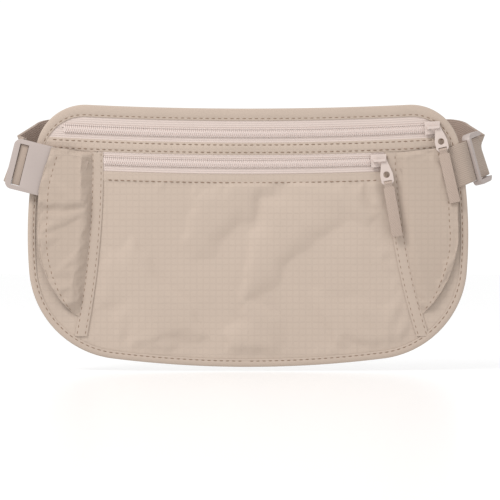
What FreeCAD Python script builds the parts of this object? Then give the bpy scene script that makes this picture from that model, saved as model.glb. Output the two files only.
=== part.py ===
import FreeCAD, Part
import math
import os
import re
import Sketcher

# Money belt: a flat waist pouch with two zips, a stash pocket at each side for the belt's ends,
# and an elastic belt with a side-release buckle and a strap adjuster.
#
# Every sub-part is drawn in "pouch coordinates", in millimetres: X to the wearer's left of the
# picture's right, Z up from the pouch's lowest point, and layers counted forward (towards -Y) from
# the back of the front fabric. Each Placement then moves the origin to the middle of the pouch's
# flat back, where it rests on the wearer.

doc = FreeCAD.newDocument("MoneyBelt")
sizes = doc.addObject("Spreadsheet::Sheet", "Sizes")

DRIVING_SIZES = {
    # outline of the pouch, from its lowest point
    "bottom_corner_x": 80.5,
    "bottom_corner_height": 67.0,
    "bottom_corner_radius": 62.0,
    "bottom_radius": 712.0,
    "side_radius": 300.0,
    "top_corner_x": 106.0,
    "top_corner_height": 138.5,
    "top_corner_radius": 32.0,
    "top_radius": 2200.0,
    # inner line of the binding's front leg, deeper along the top, where it faces the zip
    "binding_width": 5.2,
    "facing_corner_x": 106.8,
    "facing_corner_height": 136.5,
    "facing_corner_radius": 26.0,
    # rim of the pocket lining
    "lining_corner_x": 113.0,
    "lining_corner_height": 126.5,
    "lining_corner_radius": 22.0,
    # layers
    "fabric": 0.6,
    "edge_inset": 1.0,
    "pocket_gap": 4.6,
    "lining_slope_width": 8.0,
    "back_slope_width": 16.0,
    "origin_height": 84.0,
    # zips, bands and folds, as radii about one centre high above the pouch
    "arc_height": 2352.0,
    "top_chain_radius": 2200.0,
    "front_chain_radius": 2219.7,
    "band_top_radius": 2206.3,
    "tape_joint_radius": 2210.0,
    "band_low_radius": 2214.2,
    "pocket_fold_radius": 2226.7,
    "slot_half": 2.0,
    "coil_row": 0.8,
    "chain_thick": 1.8,
    "top_zip_end": 119.5,
    "top_slider_x": 119.6,
    "front_zip_left": -97.5,
    "front_zip_right": 92.0,
    "front_slider_x": 84.8,
    # seam tapes, each an arc whose centre is outside the pouch
    "seam_tape_half": 4.0,
    "left_seam_x": -688.4,
    "left_seam_height": 131.3,
    "left_seam_radius": 590.4,
    "right_seam_x": 540.2,
    "right_seam_height": 156.1,
    "right_seam_radius": 447.8,
    "seam_low": 25.0,
    "seam_high": 137.0,
    # side pockets
    "wing_top": 141.0,
    "wing_top_x": 131.0,
    "wing_wide_x": 136.0,
    "wing_wide_height": 95.0,
    "wing_low_x": 113.5,
    "wing_low_height": 34.5,
    "wing_upper_radius": 180.2,
    "wing_lower_radius": 72.8,
    "wing_wall": 0.8,
    "left_wing_rise": 6.6,
    "right_wing_rise": 3.4,
    # webbing and buckle
    "webbing_width": 26.5,
    "webbing_thick": 1.3,
    "slot_length": 27.0,
    "slot_width": 5.7,
    "buckle_height": 33.0,
    "buckle_thick": 5.0,
    "buckle_layer": 1.2,
    "socket_outer": -6.8,
    "socket_inner": 21.0,
    "plug_outer": 33.0,
    # zip slider and pull
    "slider_length": 10.0,
    "slider_width": 8.4,
    "pull_layer": 5.0,
    "pull_thick": 1.2,
    "pull_length": 16.0,
    "pull_width": 8.2,
    "tail_length": 34.0,
    "tail_width": 7.0,
    # strap adjuster
    "adjuster_half": 11.2,
    "adjuster_height": 34.0,
}

for row, (alias, value) in enumerate(DRIVING_SIZES.items(), start=1):
    sizes.set(f"A{row}", alias)
    sizes.set(f"B{row}", str(value))
    sizes.setAlias(f"B{row}", alias)
doc.recompute()


def size(expression):
    """The number that an expression in the sheet's names comes to."""
    value = sizes.evalExpression(str(expression))
    return float(getattr(value, "Value", value))


def bound(expression):
    """The same expression as another object writes it, with the sheet's name before each size."""
    return re.sub(r"[a-z]\w*", lambda word: "Sizes." + word.group(), str(expression))


BACK_FACE = size("pocket_gap * 2 + fabric * 2")
ORIGIN_SHIFT = FreeCAD.Vector(0, -BACK_FACE, -size("origin_height"))
subparts = []


# ---------------------------------------------------------------- sketches and features

def new_body(label, place=None, in_pouch=True):
    """A body whose Placement puts its own drawing into the part's frame."""
    body = doc.addObject("PartDesign::Body", label)
    body.Label = label
    body.Placement = place if place else FreeCAD.Placement(ORIGIN_SHIFT, FreeCAD.Rotation())
    if in_pouch and place is None:
        body.setExpression(".Placement.Base.z", "-Sizes.origin_height")
    subparts.append(body)
    return body


def new_sketch(body, name, layer="0", plane="XZ_Plane"):
    """A sketch on one of the body's own planes, moved forward to the given layer."""
    sketch = body.newObject("Sketcher::SketchObject", body.Label + "_" + name)
    origin_plane = [o for o in body.Origin.OriginFeatures if o.Role == plane][0]
    sketch.AttachmentSupport = (origin_plane, [""])
    sketch.MapMode = "FlatFace"
    sketch.setExpression("AttachmentOffset.Base.z", bound(layer))
    return sketch


def fix(sketch, kind, *where, expression, name):
    """A dimension bound to the sheet."""
    index = sketch.addConstraint(Sketcher.Constraint(kind, *where, size(expression)))
    sketch.renameConstraint(index, name)
    sketch.setExpression(".Constraints." + name, bound(expression))


def link(sketch, *constraint):
    sketch.addConstraint(Sketcher.Constraint(*constraint))


def pad(body, sketch, length):
    """Adds material from the sketch forward."""
    feature = body.newObject("PartDesign::Pad", sketch.Label + "_pad")
    feature.Profile = sketch
    feature.setExpression("Length", bound(length))
    return feature


def pocket(body, sketch, length):
    """Removes material from the sketch forward."""
    feature = body.newObject("PartDesign::Pocket", sketch.Label + "_pocket")
    feature.Profile = sketch
    feature.Reversed = True
    feature.setExpression("Length", bound(length))
    return feature


def arc_of(centre, radius, start, end):
    """The counter-clockwise arc about a centre from one point to another."""
    angles = [math.atan2(p[1] - centre[1], p[0] - centre[0]) for p in (start, end)]
    if angles[1] < angles[0]:
        angles[1] += 2 * math.pi
    circle = Part.Circle(FreeCAD.Vector(*centre, 0), FreeCAD.Vector(0, 0, 1), radius)
    return Part.ArcOfCircle(circle, *angles)


def toward(point, other, reach):
    """The point at a distance from one point towards another."""
    step = math.dist(point, other)
    return tuple(p + (o - p) * reach / step for p, o in zip(point, other))


def draw_outline(sketch, inset, corner="top_corner"):
    """The pouch's outline, eight arcs that run into each other, drawn in by an inset."""
    corner_radius = corner + "_radius" if corner == "facing_corner" else f"{corner}_radius - ({inset})"
    low = (size("bottom_corner_x"), size("bottom_corner_height"))
    high = (size(corner + "_x"), size(corner + "_height"))
    low_r = size(f"bottom_corner_radius - ({inset})")
    high_r = size(corner_radius)
    side_r = size(f"side_radius - ({inset})")
    base_r = size(f"bottom_radius - ({inset})")
    top_r = size("top_radius")
    base = (0.0, low[1] + math.sqrt((base_r - low_r) ** 2 - low[0] ** 2))
    top = (0.0, high[1] + math.sqrt((top_r + high_r) ** 2 - high[0] ** 2))
    gap = math.dist(low, high)
    along = ((side_r - low_r) ** 2 - (side_r - high_r) ** 2 + gap ** 2) / (2 * gap)
    away = math.sqrt((side_r - low_r) ** 2 - along ** 2)
    unit = ((high[0] - low[0]) / gap, (high[1] - low[1]) / gap)
    side = (low[0] + unit[0] * along - unit[1] * away, low[1] + unit[1] * along + unit[0] * away)
    joints = [toward(low, base, -low_r), toward(low, side, -low_r),
              toward(high, side, -high_r), toward(high, top, high_r)]

    def mirrored(point):
        return (-point[0], point[1])

    left = [mirrored(p) for p in joints]
    for arc in (
        arc_of(base, base_r, left[0], joints[0]),
        arc_of(low, low_r, joints[0], joints[1]),
        arc_of(side, side_r, joints[1], joints[2]),
        arc_of(high, high_r, joints[2], joints[3]),
        arc_of(top, top_r, left[3], joints[3]),
        arc_of(mirrored(high), high_r, left[3], left[2]),
        arc_of(mirrored(side), side_r, left[2], left[1]),
        arc_of(mirrored(low), low_r, left[1], left[0]),
    ):
        sketch.addGeometry(arc)
    for first, first_end, second, second_end in (
        (0, 2, 1, 1), (1, 2, 2, 1), (2, 2, 3, 1), (3, 2, 4, 2),
        (4, 1, 5, 1), (5, 2, 6, 1), (6, 2, 7, 1), (7, 2, 0, 1),
    ):
        link(sketch, "Tangent", first, first_end, second, second_end)
    for right_arc, left_arc in ((1, 7), (3, 5), (2, 6)):
        link(sketch, "Equal", right_arc, left_arc)
    link(sketch, "Symmetric", 1, 3, 7, 3, -2)
    link(sketch, "Symmetric", 3, 3, 5, 3, -2)
    fix(sketch, "Radius", 0, expression=f"bottom_radius - ({inset})", name="base_radius")
    fix(sketch, "Radius", 1, expression=f"bottom_corner_radius - ({inset})", name="low_radius")
    fix(sketch, "Radius", 2, expression=f"side_radius - ({inset})", name="side_radius")
    fix(sketch, "Radius", 3, expression=corner_radius, name="high_radius")
    fix(sketch, "Radius", 4, expression="top_radius", name="top_radius")
    fix(sketch, "DistanceX", -1, 1, 1, 3, expression="bottom_corner_x", name="low_x")
    fix(sketch, "DistanceY", -1, 1, 1, 3, expression="bottom_corner_height", name="low_z")
    fix(sketch, "DistanceX", -1, 1, 3, 3, expression=corner + "_x", name="high_x")
    fix(sketch, "DistanceY", -1, 1, 3, 3, expression=corner + "_height", name="high_z")


def draw_band(sketch, upper, lower, left, right):
    """A band between two arcs about the zips' common centre, cut off upright at both ends."""
    centre = (0.0, size("arc_height"))
    ends = []
    for radius in (size(upper), size(lower)):
        ends.append([(x, centre[1] - math.sqrt(radius ** 2 - x ** 2)) for x in (size(left), size(right))])
        sketch.addGeometry(arc_of(centre, radius, *ends[-1]))
    for upper_end, lower_end in zip(*ends):
        sketch.addGeometry(Part.LineSegment(FreeCAD.Vector(*upper_end, 0), FreeCAD.Vector(*lower_end, 0)))
    for line, arc_end in ((2, 1), (3, 2)):
        link(sketch, "Coincident", line, 1, 0, arc_end)
        link(sketch, "Coincident", line, 2, 1, arc_end)
        link(sketch, "Vertical", line)
    link(sketch, "PointOnObject", 0, 3, -2)
    link(sketch, "Coincident", 0, 3, 1, 3)
    fix(sketch, "DistanceY", -1, 1, 0, 3, expression="arc_height", name="centre_z")
    fix(sketch, "Radius", 0, expression=upper, name="upper_radius")
    fix(sketch, "Radius", 1, expression=lower, name="lower_radius")
    fix(sketch, "DistanceX", -1, 1, 2, 1, expression=left, name="left_end")
    fix(sketch, "DistanceX", -1, 1, 3, 1, expression=right, name="right_end")


def draw_loop(sketch, corners, arcs=()):
    """A closed loop through corners given as expressions. arcs holds, for some sides, the radius
    and the centre side: +1 for an arc that bulges right of its line of travel, -1 for left."""
    bulges = dict(arcs)
    points = [(size(x), size(z)) for x, z in corners]
    count = len(points)
    for i, start in enumerate(points):
        end = points[(i + 1) % count]
        if i not in bulges:
            sketch.addGeometry(Part.LineSegment(FreeCAD.Vector(*start, 0), FreeCAD.Vector(*end, 0)))
            continue
        radius, bulge = size(bulges[i][0]), bulges[i][1]
        half = math.dist(start, end) / 2
        depth = math.sqrt(radius ** 2 - half ** 2)
        middle = [(s + e) / 2 for s, e in zip(start, end)]
        direction = [(e - s) / (2 * half) for s, e in zip(start, end)]
        centre = (middle[0] - bulge * direction[1] * depth, middle[1] + bulge * direction[0] * depth)
        sketch.addGeometry(arc_of(centre, radius, *((start, end) if bulge > 0 else (end, start))))
    for i in range(count):
        j = (i + 1) % count
        end_i = 1 if bulges.get(i, ("", 1))[1] < 0 else 2
        start_j = 2 if bulges.get(j, ("", 1))[1] < 0 else 1
        link(sketch, "Coincident", i, end_i, j, start_j)
        fix(sketch, "DistanceX", -1, 1, j, start_j, expression=corners[j][0], name=f"x{j}")
        fix(sketch, "DistanceY", -1, 1, j, start_j, expression=corners[j][1], name=f"z{j}")
        if i in bulges:
            fix(sketch, "Radius", i, expression=bulges[i][0], name=f"radius{i}")


def draw_box(sketch, x_low, x_high, z_low, z_high):
    """A rectangle from expressions."""
    draw_loop(sketch, [(x_low, z_low), (x_high, z_low), (x_high, z_high), (x_low, z_high)])


def add_block(body, name, x_low, x_high, z_low, z_high, layer, thick):
    """A rectangular block, from a layer forward."""
    sketch = new_sketch(body, name, layer)
    draw_box(sketch, x_low, x_high, z_low, z_high)
    return pad(body, sketch, thick)


def cut_block(body, name, x_low, x_high, z_low, z_high, layer, thick):
    """Removes a rectangular block, from a layer forward."""
    sketch = new_sketch(body, name, layer)
    draw_box(sketch, x_low, x_high, z_low, z_high)
    return pocket(body, sketch, thick)


def round_upright_edges(body, feature, radius, near_x, near_z):
    """Rounds the edges along Y whose place, without sign, is near the given corner."""
    doc.recompute()
    names = []
    for i, edge in enumerate(feature.Shape.Edges, start=1):
        first, last = edge.Vertexes[0].Point, edge.Vertexes[-1].Point
        along_y = abs(first.x - last.x) < 1e-6 and abs(first.z - last.z) < 1e-6
        at_corner = abs(first.x - near_x) < 0.01 and abs(abs(first.z) - near_z) < 0.01
        if along_y and at_corner and abs(first.y - last.y) > 1e-6:
            names.append(f"Edge{i}")
    fillet = body.newObject("PartDesign::Fillet", f"{body.Label}_round_{len(body.Group)}")
    fillet.Base = (feature, names)
    fillet.Radius = radius
    return fillet


# ---------------------------------------------------------------- pouch shell

def cut_by_band(body, name, upper, lower, layer, thick):
    """Cuts everything between two zip arcs, right across the pouch."""
    sketch = new_sketch(body, name, layer)
    draw_band(sketch, upper, lower, "-170", "170")
    pocket(body, sketch, thick)


def cut_beyond_seam(body, side, outside, layer, thick):
    """Cuts away what lies inside or outside a seam's centre line."""
    sign = -1 if side == "left" else 1
    far = f"{sign * 175}" if outside else f"{-sign * 175}"
    centre_x, centre_z = f"{side}_seam_x", f"{side}_seam_height"
    radius = size(f"{side}_seam_radius")
    edge_x = [size(centre_x) - sign * math.sqrt(radius ** 2 - (z - size(centre_z)) ** 2) for z in (-12, 182)]
    sketch = new_sketch(body, f"{side}_seam", layer)
    low, high = (edge_x[0], -12.0), (edge_x[1], 182.0)
    ends = (low, high) if side == "left" else (high, low)
    sketch.addGeometry(arc_of((size(centre_x), size(centre_z)), radius, *ends))
    far_low, far_high = (float(far), -12.0), (float(far), 182.0)
    for start, end in ((low, far_low), (far_low, far_high), (far_high, high)):
        sketch.addGeometry(Part.LineSegment(FreeCAD.Vector(*start, 0), FreeCAD.Vector(*end, 0)))
    arc_low, arc_high = (1, 2) if side == "left" else (2, 1)
    link(sketch, "Coincident", 0, arc_low, 1, 1)
    link(sketch, "Coincident", 1, 2, 2, 1)
    link(sketch, "Coincident", 2, 2, 3, 1)
    link(sketch, "Coincident", 3, 2, 0, arc_high)
    link(sketch, "Horizontal", 1)
    link(sketch, "Vertical", 2)
    link(sketch, "Horizontal", 3)
    fix(sketch, "DistanceX", -1, 1, 0, 3, expression=centre_x, name="seam_x")
    fix(sketch, "DistanceY", -1, 1, 0, 3, expression=centre_z, name="seam_z")
    fix(sketch, "Radius", 0, expression=f"{side}_seam_radius", name="seam_radius")
    fix(sketch, "DistanceX", -1, 1, 2, 1, expression=far, name="far_x")
    fix(sketch, "DistanceY", -1, 1, 2, 1, expression="-12", name="far_low")
    fix(sketch, "DistanceY", -1, 1, 2, 2, expression="182", name="far_high")
    pocket(body, sketch, thick)


def outline_pad(body, name, inset, layer, thick, corner="top_corner"):
    sketch = new_sketch(body, name, layer)
    draw_outline(sketch, inset, corner)
    return pad(body, sketch, thick)


def outline_pocket(body, name, inset, layer, thick, corner="top_corner"):
    sketch = new_sketch(body, name, layer)
    draw_outline(sketch, inset, corner)
    return pocket(body, sketch, thick)


def outline_loft(body, kind, name, near, far, corner):
    """Adds or removes a dished form between two outlines, each (inset, layer)."""
    ends = []
    for end_name, (inset, layer) in (("near", near), ("far", far)):
        sketch = new_sketch(body, f"{name}_{end_name}", layer)
        draw_outline(sketch, inset, corner)
        ends.append(sketch)
    loft = body.newObject("PartDesign::" + kind, f"{body.Label}_{name}")
    loft.Profile = ends[0]
    loft.Sections = [ends[1]]
    loft.Ruled = True


def dished_sheet(label, rim_layer, rim_inset, slope_width, depth, corner="top_corner"):
    """A sheet with a flat rim that slopes back to a flat middle, as fabric round a full pocket."""
    body = new_body(label)
    wall = "fabric + 0.2"
    outline_pad(body, "rim", "edge_inset", rim_layer, "fabric", corner)
    outline_loft(body, "AdditiveLoft", "outside", (rim_inset, rim_layer),
                 (f"{rim_inset} + {slope_width}", f"{rim_layer} - {depth}"), corner)
    outline_loft(body, "SubtractiveLoft", "inside", (f"{rim_inset} + {wall}", f"{rim_layer} + fabric"),
                 (f"{rim_inset} + {wall} + {slope_width}", f"{rim_layer} - {depth} + fabric"), corner)


dished_sheet("back_panel", "-1.2", "5.6", "back_slope_width", "pocket_gap * 2")
dished_sheet("pocket_lining", "-0.6", "7.2", "lining_slope_width", "pocket_gap", "lining_corner")

binding = new_body("edge_binding")
outline_pad(binding, "band", "0", "-1.8", "3.0")
outline_pocket(binding, "channel", "edge_inset", "-1.2", "1.8")
outline_pocket(binding, "front_mouth", "binding_width", "0.6", "2", "facing_corner")
outline_pocket(binding, "back_mouth", "binding_width", "-3", "1.8")

pocket_panel = new_body("pocket_panel")
outline_pad(pocket_panel, "sheet", "edge_inset", "0", "fabric")
cut_by_band(pocket_panel, "top", "2150", "pocket_fold_radius", "-1", "3")
cut_beyond_seam(pocket_panel, "left", True, "-1", "3")
cut_beyond_seam(pocket_panel, "right", True, "-1", "3")

for seam_side in ("left", "right"):
    side_panel = new_body(seam_side + "_side_panel")
    outline_pad(side_panel, "sheet", "edge_inset", "0", "fabric")
    cut_by_band(side_panel, "top", "2150", "tape_joint_radius", "-1", "3")
    cut_beyond_seam(side_panel, seam_side, False, "-1", "3")


def strip(label, upper, lower, left, right, layer, thick):
    """A band of its own that follows the zips' arcs."""
    body = new_body(label)
    sketch = new_sketch(body, "strip", layer)
    draw_band(sketch, upper, lower, left, right)
    pad(body, sketch, thick)


strip("middle_band", "band_top_radius", "band_low_radius", "-128", "128", "fabric", "fabric")

# ---------------------------------------------------------------- zips

top_tape_upper = new_body("top_zip_tape_upper")
outline_pad(top_tape_upper, "sheet", "edge_inset", "0", "fabric")
cut_by_band(top_tape_upper, "below", "top_chain_radius - slot_half", "2400", "-1", "3")

top_tape_lower = new_body("top_zip_tape_lower")
outline_pad(top_tape_lower, "sheet", "edge_inset", "0", "fabric")
cut_by_band(top_tape_lower, "above", "2150", "top_chain_radius + slot_half", "-1", "3")
cut_by_band(top_tape_lower, "below", "tape_joint_radius", "2400", "-1", "3")

strip("front_zip_tape_upper", "tape_joint_radius", "front_chain_radius - slot_half",
      "front_zip_left", "front_zip_right", "0", "fabric")
strip("front_zip_tape_lower", "front_chain_radius + slot_half", "pocket_fold_radius",
      "front_zip_left", "front_zip_right", "0", "fabric")


def zip_rows(name, chain, left, right, slider_x):
    """The coil sewn along both edges of a zip's slot, and the closed chain as far as its slider."""
    strip(name + "_coil_upper", f"{chain} - slot_half - coil_row", f"{chain} - slot_half",
          left, right, "fabric", "chain_thick - fabric")
    strip(name + "_coil_lower", f"{chain} + slot_half", f"{chain} + slot_half + coil_row",
          left, right, "fabric", "chain_thick - fabric")
    strip(name + "_chain", f"{chain} - slot_half", f"{chain} + slot_half",
          left, f"{slider_x} - 1.6", "0", "chain_thick")


zip_rows("top_zip", "top_chain_radius", "-top_zip_end", "top_zip_end", "top_slider_x")
zip_rows("front_zip", "front_chain_radius", "-93.5", "88", "front_slider_x")


def on_arc(chain, x):
    """Height and slope of a zip at a place along it."""
    radius, across = size(chain), size(x)
    rise = math.sqrt(radius ** 2 - across ** 2)
    return size("arc_height") - rise, math.degrees(math.asin(across / radius))


def slider_and_pull(name, chain, x, lean):
    """A zip's slider, its pull tab and the tab's webbing tail, hanging at a lean from upright."""
    height, slope = on_arc(chain, x)
    seat = ORIGIN_SHIFT + FreeCAD.Vector(size(x), 0, height)
    slider_place = FreeCAD.Placement(seat, FreeCAD.Rotation(FreeCAD.Vector(0, 1, 0), -slope))
    slider = new_body(name + "_slider", slider_place)
    add_block(slider, "top_plate", "-slider_length / 2", "slider_length / 2",
              "-slider_width / 2", "slider_width / 2", "2.0", "1.2")
    add_block(slider, "divider_post", "-1.2", "1.0", "-1.6", "1.6", "-0.7", "3")
    add_block(slider, "back_plate", "-5", "1.2", "-2.8", "2.8", "-0.7", "0.6")
    add_block(slider, "bridge_foot", "-3.6", "-2", "-1", "1", "2.5", "4.9")
    add_block(slider, "bridge_bar", "-3.6", "4.3", "-0.8", "0.8", "6.5", "0.9")
    post_sketch = new_sketch(slider, "pull_post", "2.5")
    post_sketch.addGeometry(Part.Circle(FreeCAD.Vector(3.3, 0, 0), FreeCAD.Vector(0, 0, 1), 0.9))
    fix(post_sketch, "Radius", 0, expression="0.9", name="post_radius")
    fix(post_sketch, "DistanceX", -1, 1, 0, 3, expression="3.3", name="post_x")
    link(post_sketch, "PointOnObject", 0, 3, -1)
    pad(slider, post_sketch, "4.9")

    hook = slider_place.multVec(FreeCAD.Vector(3.3, 0, 0))
    pull_place = FreeCAD.Placement(hook, FreeCAD.Rotation(FreeCAD.Vector(0, 1, 0), -lean))
    tab = new_body(name + "_pull_tab", pull_place)
    neck, half = "1.9", "pull_width / 2"
    sketch = new_sketch(tab, "plate", "pull_layer")
    draw_loop(sketch, [("-1.9", "-0.5"), ("-" + half, "-9"), ("-" + half, "-14"), ("-2.6", "-pull_length"),
                       ("2.6", "-pull_length"), (half, "-14"), (half, "-9"), (neck, "-0.5")],
              arcs={7: ("1.95", 1)})
    pad(tab, sketch, "pull_thick")
    eye = new_sketch(tab, "eye", "pull_layer - 1")
    eye.addGeometry(Part.Circle(FreeCAD.Vector(0, 0, 0), FreeCAD.Vector(0, 0, 1), 1.2))
    fix(eye, "Radius", 0, expression="1.2", name="eye_radius")
    link(eye, "Coincident", 0, 3, -1, 1)
    pocket(tab, eye, "4")
    window = new_sketch(tab, "window", "pull_layer - 1")
    window.addGeometry(Part.Circle(FreeCAD.Vector(0, -9.4, 0), FreeCAD.Vector(0, 0, 1), 2.1))
    fix(window, "Radius", 0, expression="2.1", name="window_radius")
    link(window, "PointOnObject", 0, 3, -2)
    fix(window, "DistanceY", -1, 1, 0, 3, expression="-9.4", name="window_z")
    pocket(tab, window, "4")
    slot = new_sketch(tab, "tail_slot", "pull_layer - 1")
    draw_box(slot, "-2.7", "2.7", "-14.4", "-13.3")
    pocket(tab, slot, "4")

    tail = new_body(name + "_pull_tail", pull_place)
    profile = new_sketch(tail, "loop", "-2.5", "YZ_Plane")
    outer = "1.55"
    draw_loop(profile, [("-5.6 + " + outer, "-15.2"), ("-5.6 + 0.6", "-17.2"),
                        ("-5.6 + 0.6", "-pull_length - tail_length"),
                        ("-5.6 - 0.6", "-pull_length - tail_length"), ("-5.6 - 0.6", "-17.2"),
                        ("-5.6 - " + outer, "-15.2")], arcs={5: ("1.56", -1)})
    pad(tail, profile, "5")
    eyelet = new_sketch(tail, "eyelet", "-4", "YZ_Plane")
    eyelet.addGeometry(Part.Circle(FreeCAD.Vector(-5.6, -15.2, 0), FreeCAD.Vector(0, 0, 1), 1.05))
    fix(eyelet, "Radius", 0, expression="1.05", name="eyelet_radius")
    fix(eyelet, "DistanceX", -1, 1, 0, 3, expression="-5.6", name="eyelet_y")
    fix(eyelet, "DistanceY", -1, 1, 0, 3, expression="-15.2", name="eyelet_z")
    pocket(tail, eyelet, "8")
    add_block(tail, "tape", "-tail_width / 2", "tail_width / 2", "-pull_length - tail_length",
              "-17.6", "5.0", "1.2")
    return hook


PULL_LEANS = {"top_zip": 13.0, "front_zip": 10.0}
slider_and_pull("top_zip", "top_chain_radius", "top_slider_x", PULL_LEANS["top_zip"])
slider_and_pull("front_zip", "front_chain_radius", "front_slider_x", PULL_LEANS["front_zip"])

# ---------------------------------------------------------------- seam tapes and side pockets


def seam_at(side, height, outward):
    """X of a line beside a seam, outward from the seam's centre line by a distance."""
    sign = -1 if side == "left" else 1
    radius = size(f"{side}_seam_radius") - outward
    rise = math.sqrt(radius ** 2 - (height - size(f"{side}_seam_height")) ** 2)
    return size(f"{side}_seam_x") - sign * rise


def seam_tape(side):
    body = new_body(side + "_seam_tape")
    low, high, half = size("seam_low"), size("seam_high"), size("seam_tape_half")
    corners = [(str(seam_at(side, z, out)), str(z)) for z, out in
               ((low, half), (low, -half), (high, -half), (high, half))]
    sketch = new_sketch(body, "strip", "fabric")
    turn = 1 if side == "left" else -1
    draw_loop(sketch, corners, arcs={
        1: (f"{side}_seam_radius + seam_tape_half", turn),
        3: (f"{side}_seam_radius - seam_tape_half", -turn)})
    pad(body, sketch, "fabric")


def wing(side, rise, low_z, wall_end):
    """A side pocket: a raised sheet with a wall along its seam, its top and its foot, open outside.
    low_z is where its seam ends, and wall_end is how far out the wall along its top runs."""
    sign = "-" if side == "left" else ""
    turn = -1 if side == "left" else 1
    body = new_body(side + "_wing")
    edge = size("seam_tape_half") + 0.1
    top_x, low_x = (str(seam_at(side, z, edge)) for z in (137.0, low_z))
    sketch = new_sketch(body, "sheet", "fabric")
    draw_loop(sketch, [(top_x, "137"), (low_x, str(low_z)), (sign + "wing_low_x", "wing_low_height"),
                       (sign + "wing_wide_x", "wing_wide_height"), (sign + "wing_top_x", "wing_top - 0.2")],
              arcs={0: (f"{side}_seam_radius - {edge}", turn),
                    2: ("wing_lower_radius", turn), 3: ("wing_upper_radius", turn)})
    pad(body, sketch, rise)
    top_x, low_x = (str(seam_at(side, z, edge + size("wing_wall"))) for z in (136.0, low_z + 2))
    room = new_sketch(body, "room", "0")
    draw_loop(room, [(top_x, "136"), (low_x, str(low_z + 2)), (sign + "150", "wing_low_height + 1"),
                     (sign + "150", "165"), (sign + wall_end, "136.8")],
              arcs={0: (f"{side}_seam_radius - {edge} - wing_wall", turn)})
    pocket(body, room, rise)


for seam_side in ("left", "right"):
    seam_tape(seam_side)
wing("left", "left_wing_rise", 33.0, "106.5")
wing("right", "right_wing_rise", 40.0, "112")

# ---------------------------------------------------------------- buckle

BUCKLE_LEAN = 14.0
BUCKLE_SEAT = FreeCAD.Vector(-147.7, 0, 131.2)
buckle_place = FreeCAD.Placement(ORIGIN_SHIFT + BUCKLE_SEAT,
                                 FreeCAD.Rotation(FreeCAD.Vector(0, 1, 0), BUCKLE_LEAN))
FULL = ("buckle_layer", "buckle_thick")

socket = new_body("buckle_socket", buckle_place)
socket_block = add_block(socket, "shell", "socket_outer", "socket_inner", "-buckle_height / 2",
                         "buckle_height / 2", *FULL)
round_upright_edges(socket, socket_block, 4.5, size("socket_outer"), size("buckle_height / 2"))
cut_block(socket, "strap_slot", "-slot_width / 2", "slot_width / 2", "-slot_length / 2",
          "slot_length / 2", "0", "9")
cut_block(socket, "bar_back", "socket_outer - 1", "-slot_width / 2 + 0.01", "-slot_length / 2",
          "slot_length / 2", "0", "buckle_layer + 2.1")
cut_block(socket, "mouth", "7", "socket_inner + 1", "-12.5", "12.5", "2.2", "3")
cut_block(socket, "side_windows", "8.6", "15.4", "-18", "18", "2.2", "3")

plug = new_body("buckle_plug", buckle_place)
add_block(plug, "base", "socket_inner + 0.3", "plug_outer", "-15.5", "15.5", *FULL)
add_block(plug, "guide", "9", "socket_inner + 1", "-2.4", "2.4", "2.4", "2.6")
cut_block(plug, "tab_slot", "25.5", "30", "-slot_length / 2", "slot_length / 2", "0", "9")
cut_block(plug, "bar_front", "29.9", "plug_outer + 1", "-slot_length / 2", "slot_length / 2", "4.8", "3")
cut_block(plug, "bar_back", "29.9", "plug_outer + 1", "-slot_length / 2", "slot_length / 2", "0", "2.6")

PRONG_ROOT = (19.5, 10.0)
for prong_name, up in (("upper_prong", ""), ("lower_prong", "-")):
    prong = new_body(prong_name, buckle_place)
    turn = 1 if up == "" else -1
    sketch = new_sketch(prong, "arm", "2.5")
    draw_loop(sketch, [("9.4", up + "8.5"), ("19.5", up + "8.5"), ("19.5", up + "11.5"),
                       ("14.6", up + "11.5"), ("14.6", up + "15.6"), ("12.4", up + "15.6"),
                       ("9.4", up + "12")], arcs={1: ("1.55", turn)})
    pad(prong, sketch, "2.4")

anchor_tab = new_body("buckle_anchor_tab", buckle_place)
tab_profile = new_sketch(anchor_tab, "profile", "-webbing_width / 2", "XY_Plane")
draw_loop(tab_profile, [("28.6", "-1.3"), ("34.6", "-1.3"), ("36.4", "-2.4"), ("42.6", "-2.4"),
                        ("42.6", "-5"), ("36.4", "-5"), ("34.6", "-6.1"), ("28.6", "-6.1")])
pad(anchor_tab, tab_profile, "webbing_width")
tab_eye = new_sketch(anchor_tab, "eye", "-webbing_width / 2 - 1", "XY_Plane")
draw_box(tab_eye, "29.9", "33.3", "-4.9", "-2.5")
pocket(anchor_tab, tab_eye, "webbing_width + 2")

strap_loop = new_body("strap_socket_loop", buckle_place)
loop_profile = new_sketch(strap_loop, "profile", "-webbing_width / 2", "XY_Plane")
draw_loop(loop_profile, [("-2.8", "-1.3"), ("2.5", "-1.3"), ("2.5", "-4.8"), ("-2.5", "-4.8"),
                         ("-2.5", "-2.9"), ("-2.8", "-2.9")])
pad(strap_loop, loop_profile, "webbing_width")

# ---------------------------------------------------------------- strap


def heading(yaw, climb, lean, side):
    """Frame of the strap: along it, across its width, and out of its outer face. The yaw turns it
    from the front to the back, the climb lifts it, and the lean tips it all about the Y axis."""
    yaw, climb, lean = (math.radians(angle) for angle in (yaw, climb, lean))
    upright = (
        (math.cos(climb) * math.cos(yaw), math.cos(climb) * math.sin(yaw), math.sin(climb)),
        (-math.sin(climb) * math.cos(yaw), -math.sin(climb) * math.sin(yaw), math.cos(climb)),
        (math.sin(yaw), -math.cos(yaw), 0.0))
    return tuple(FreeCAD.Vector(side * (x * math.cos(lean) - z * math.sin(lean)), y,
                                x * math.sin(lean) + z * math.cos(lean)) for x, y, z in upright)


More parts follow.
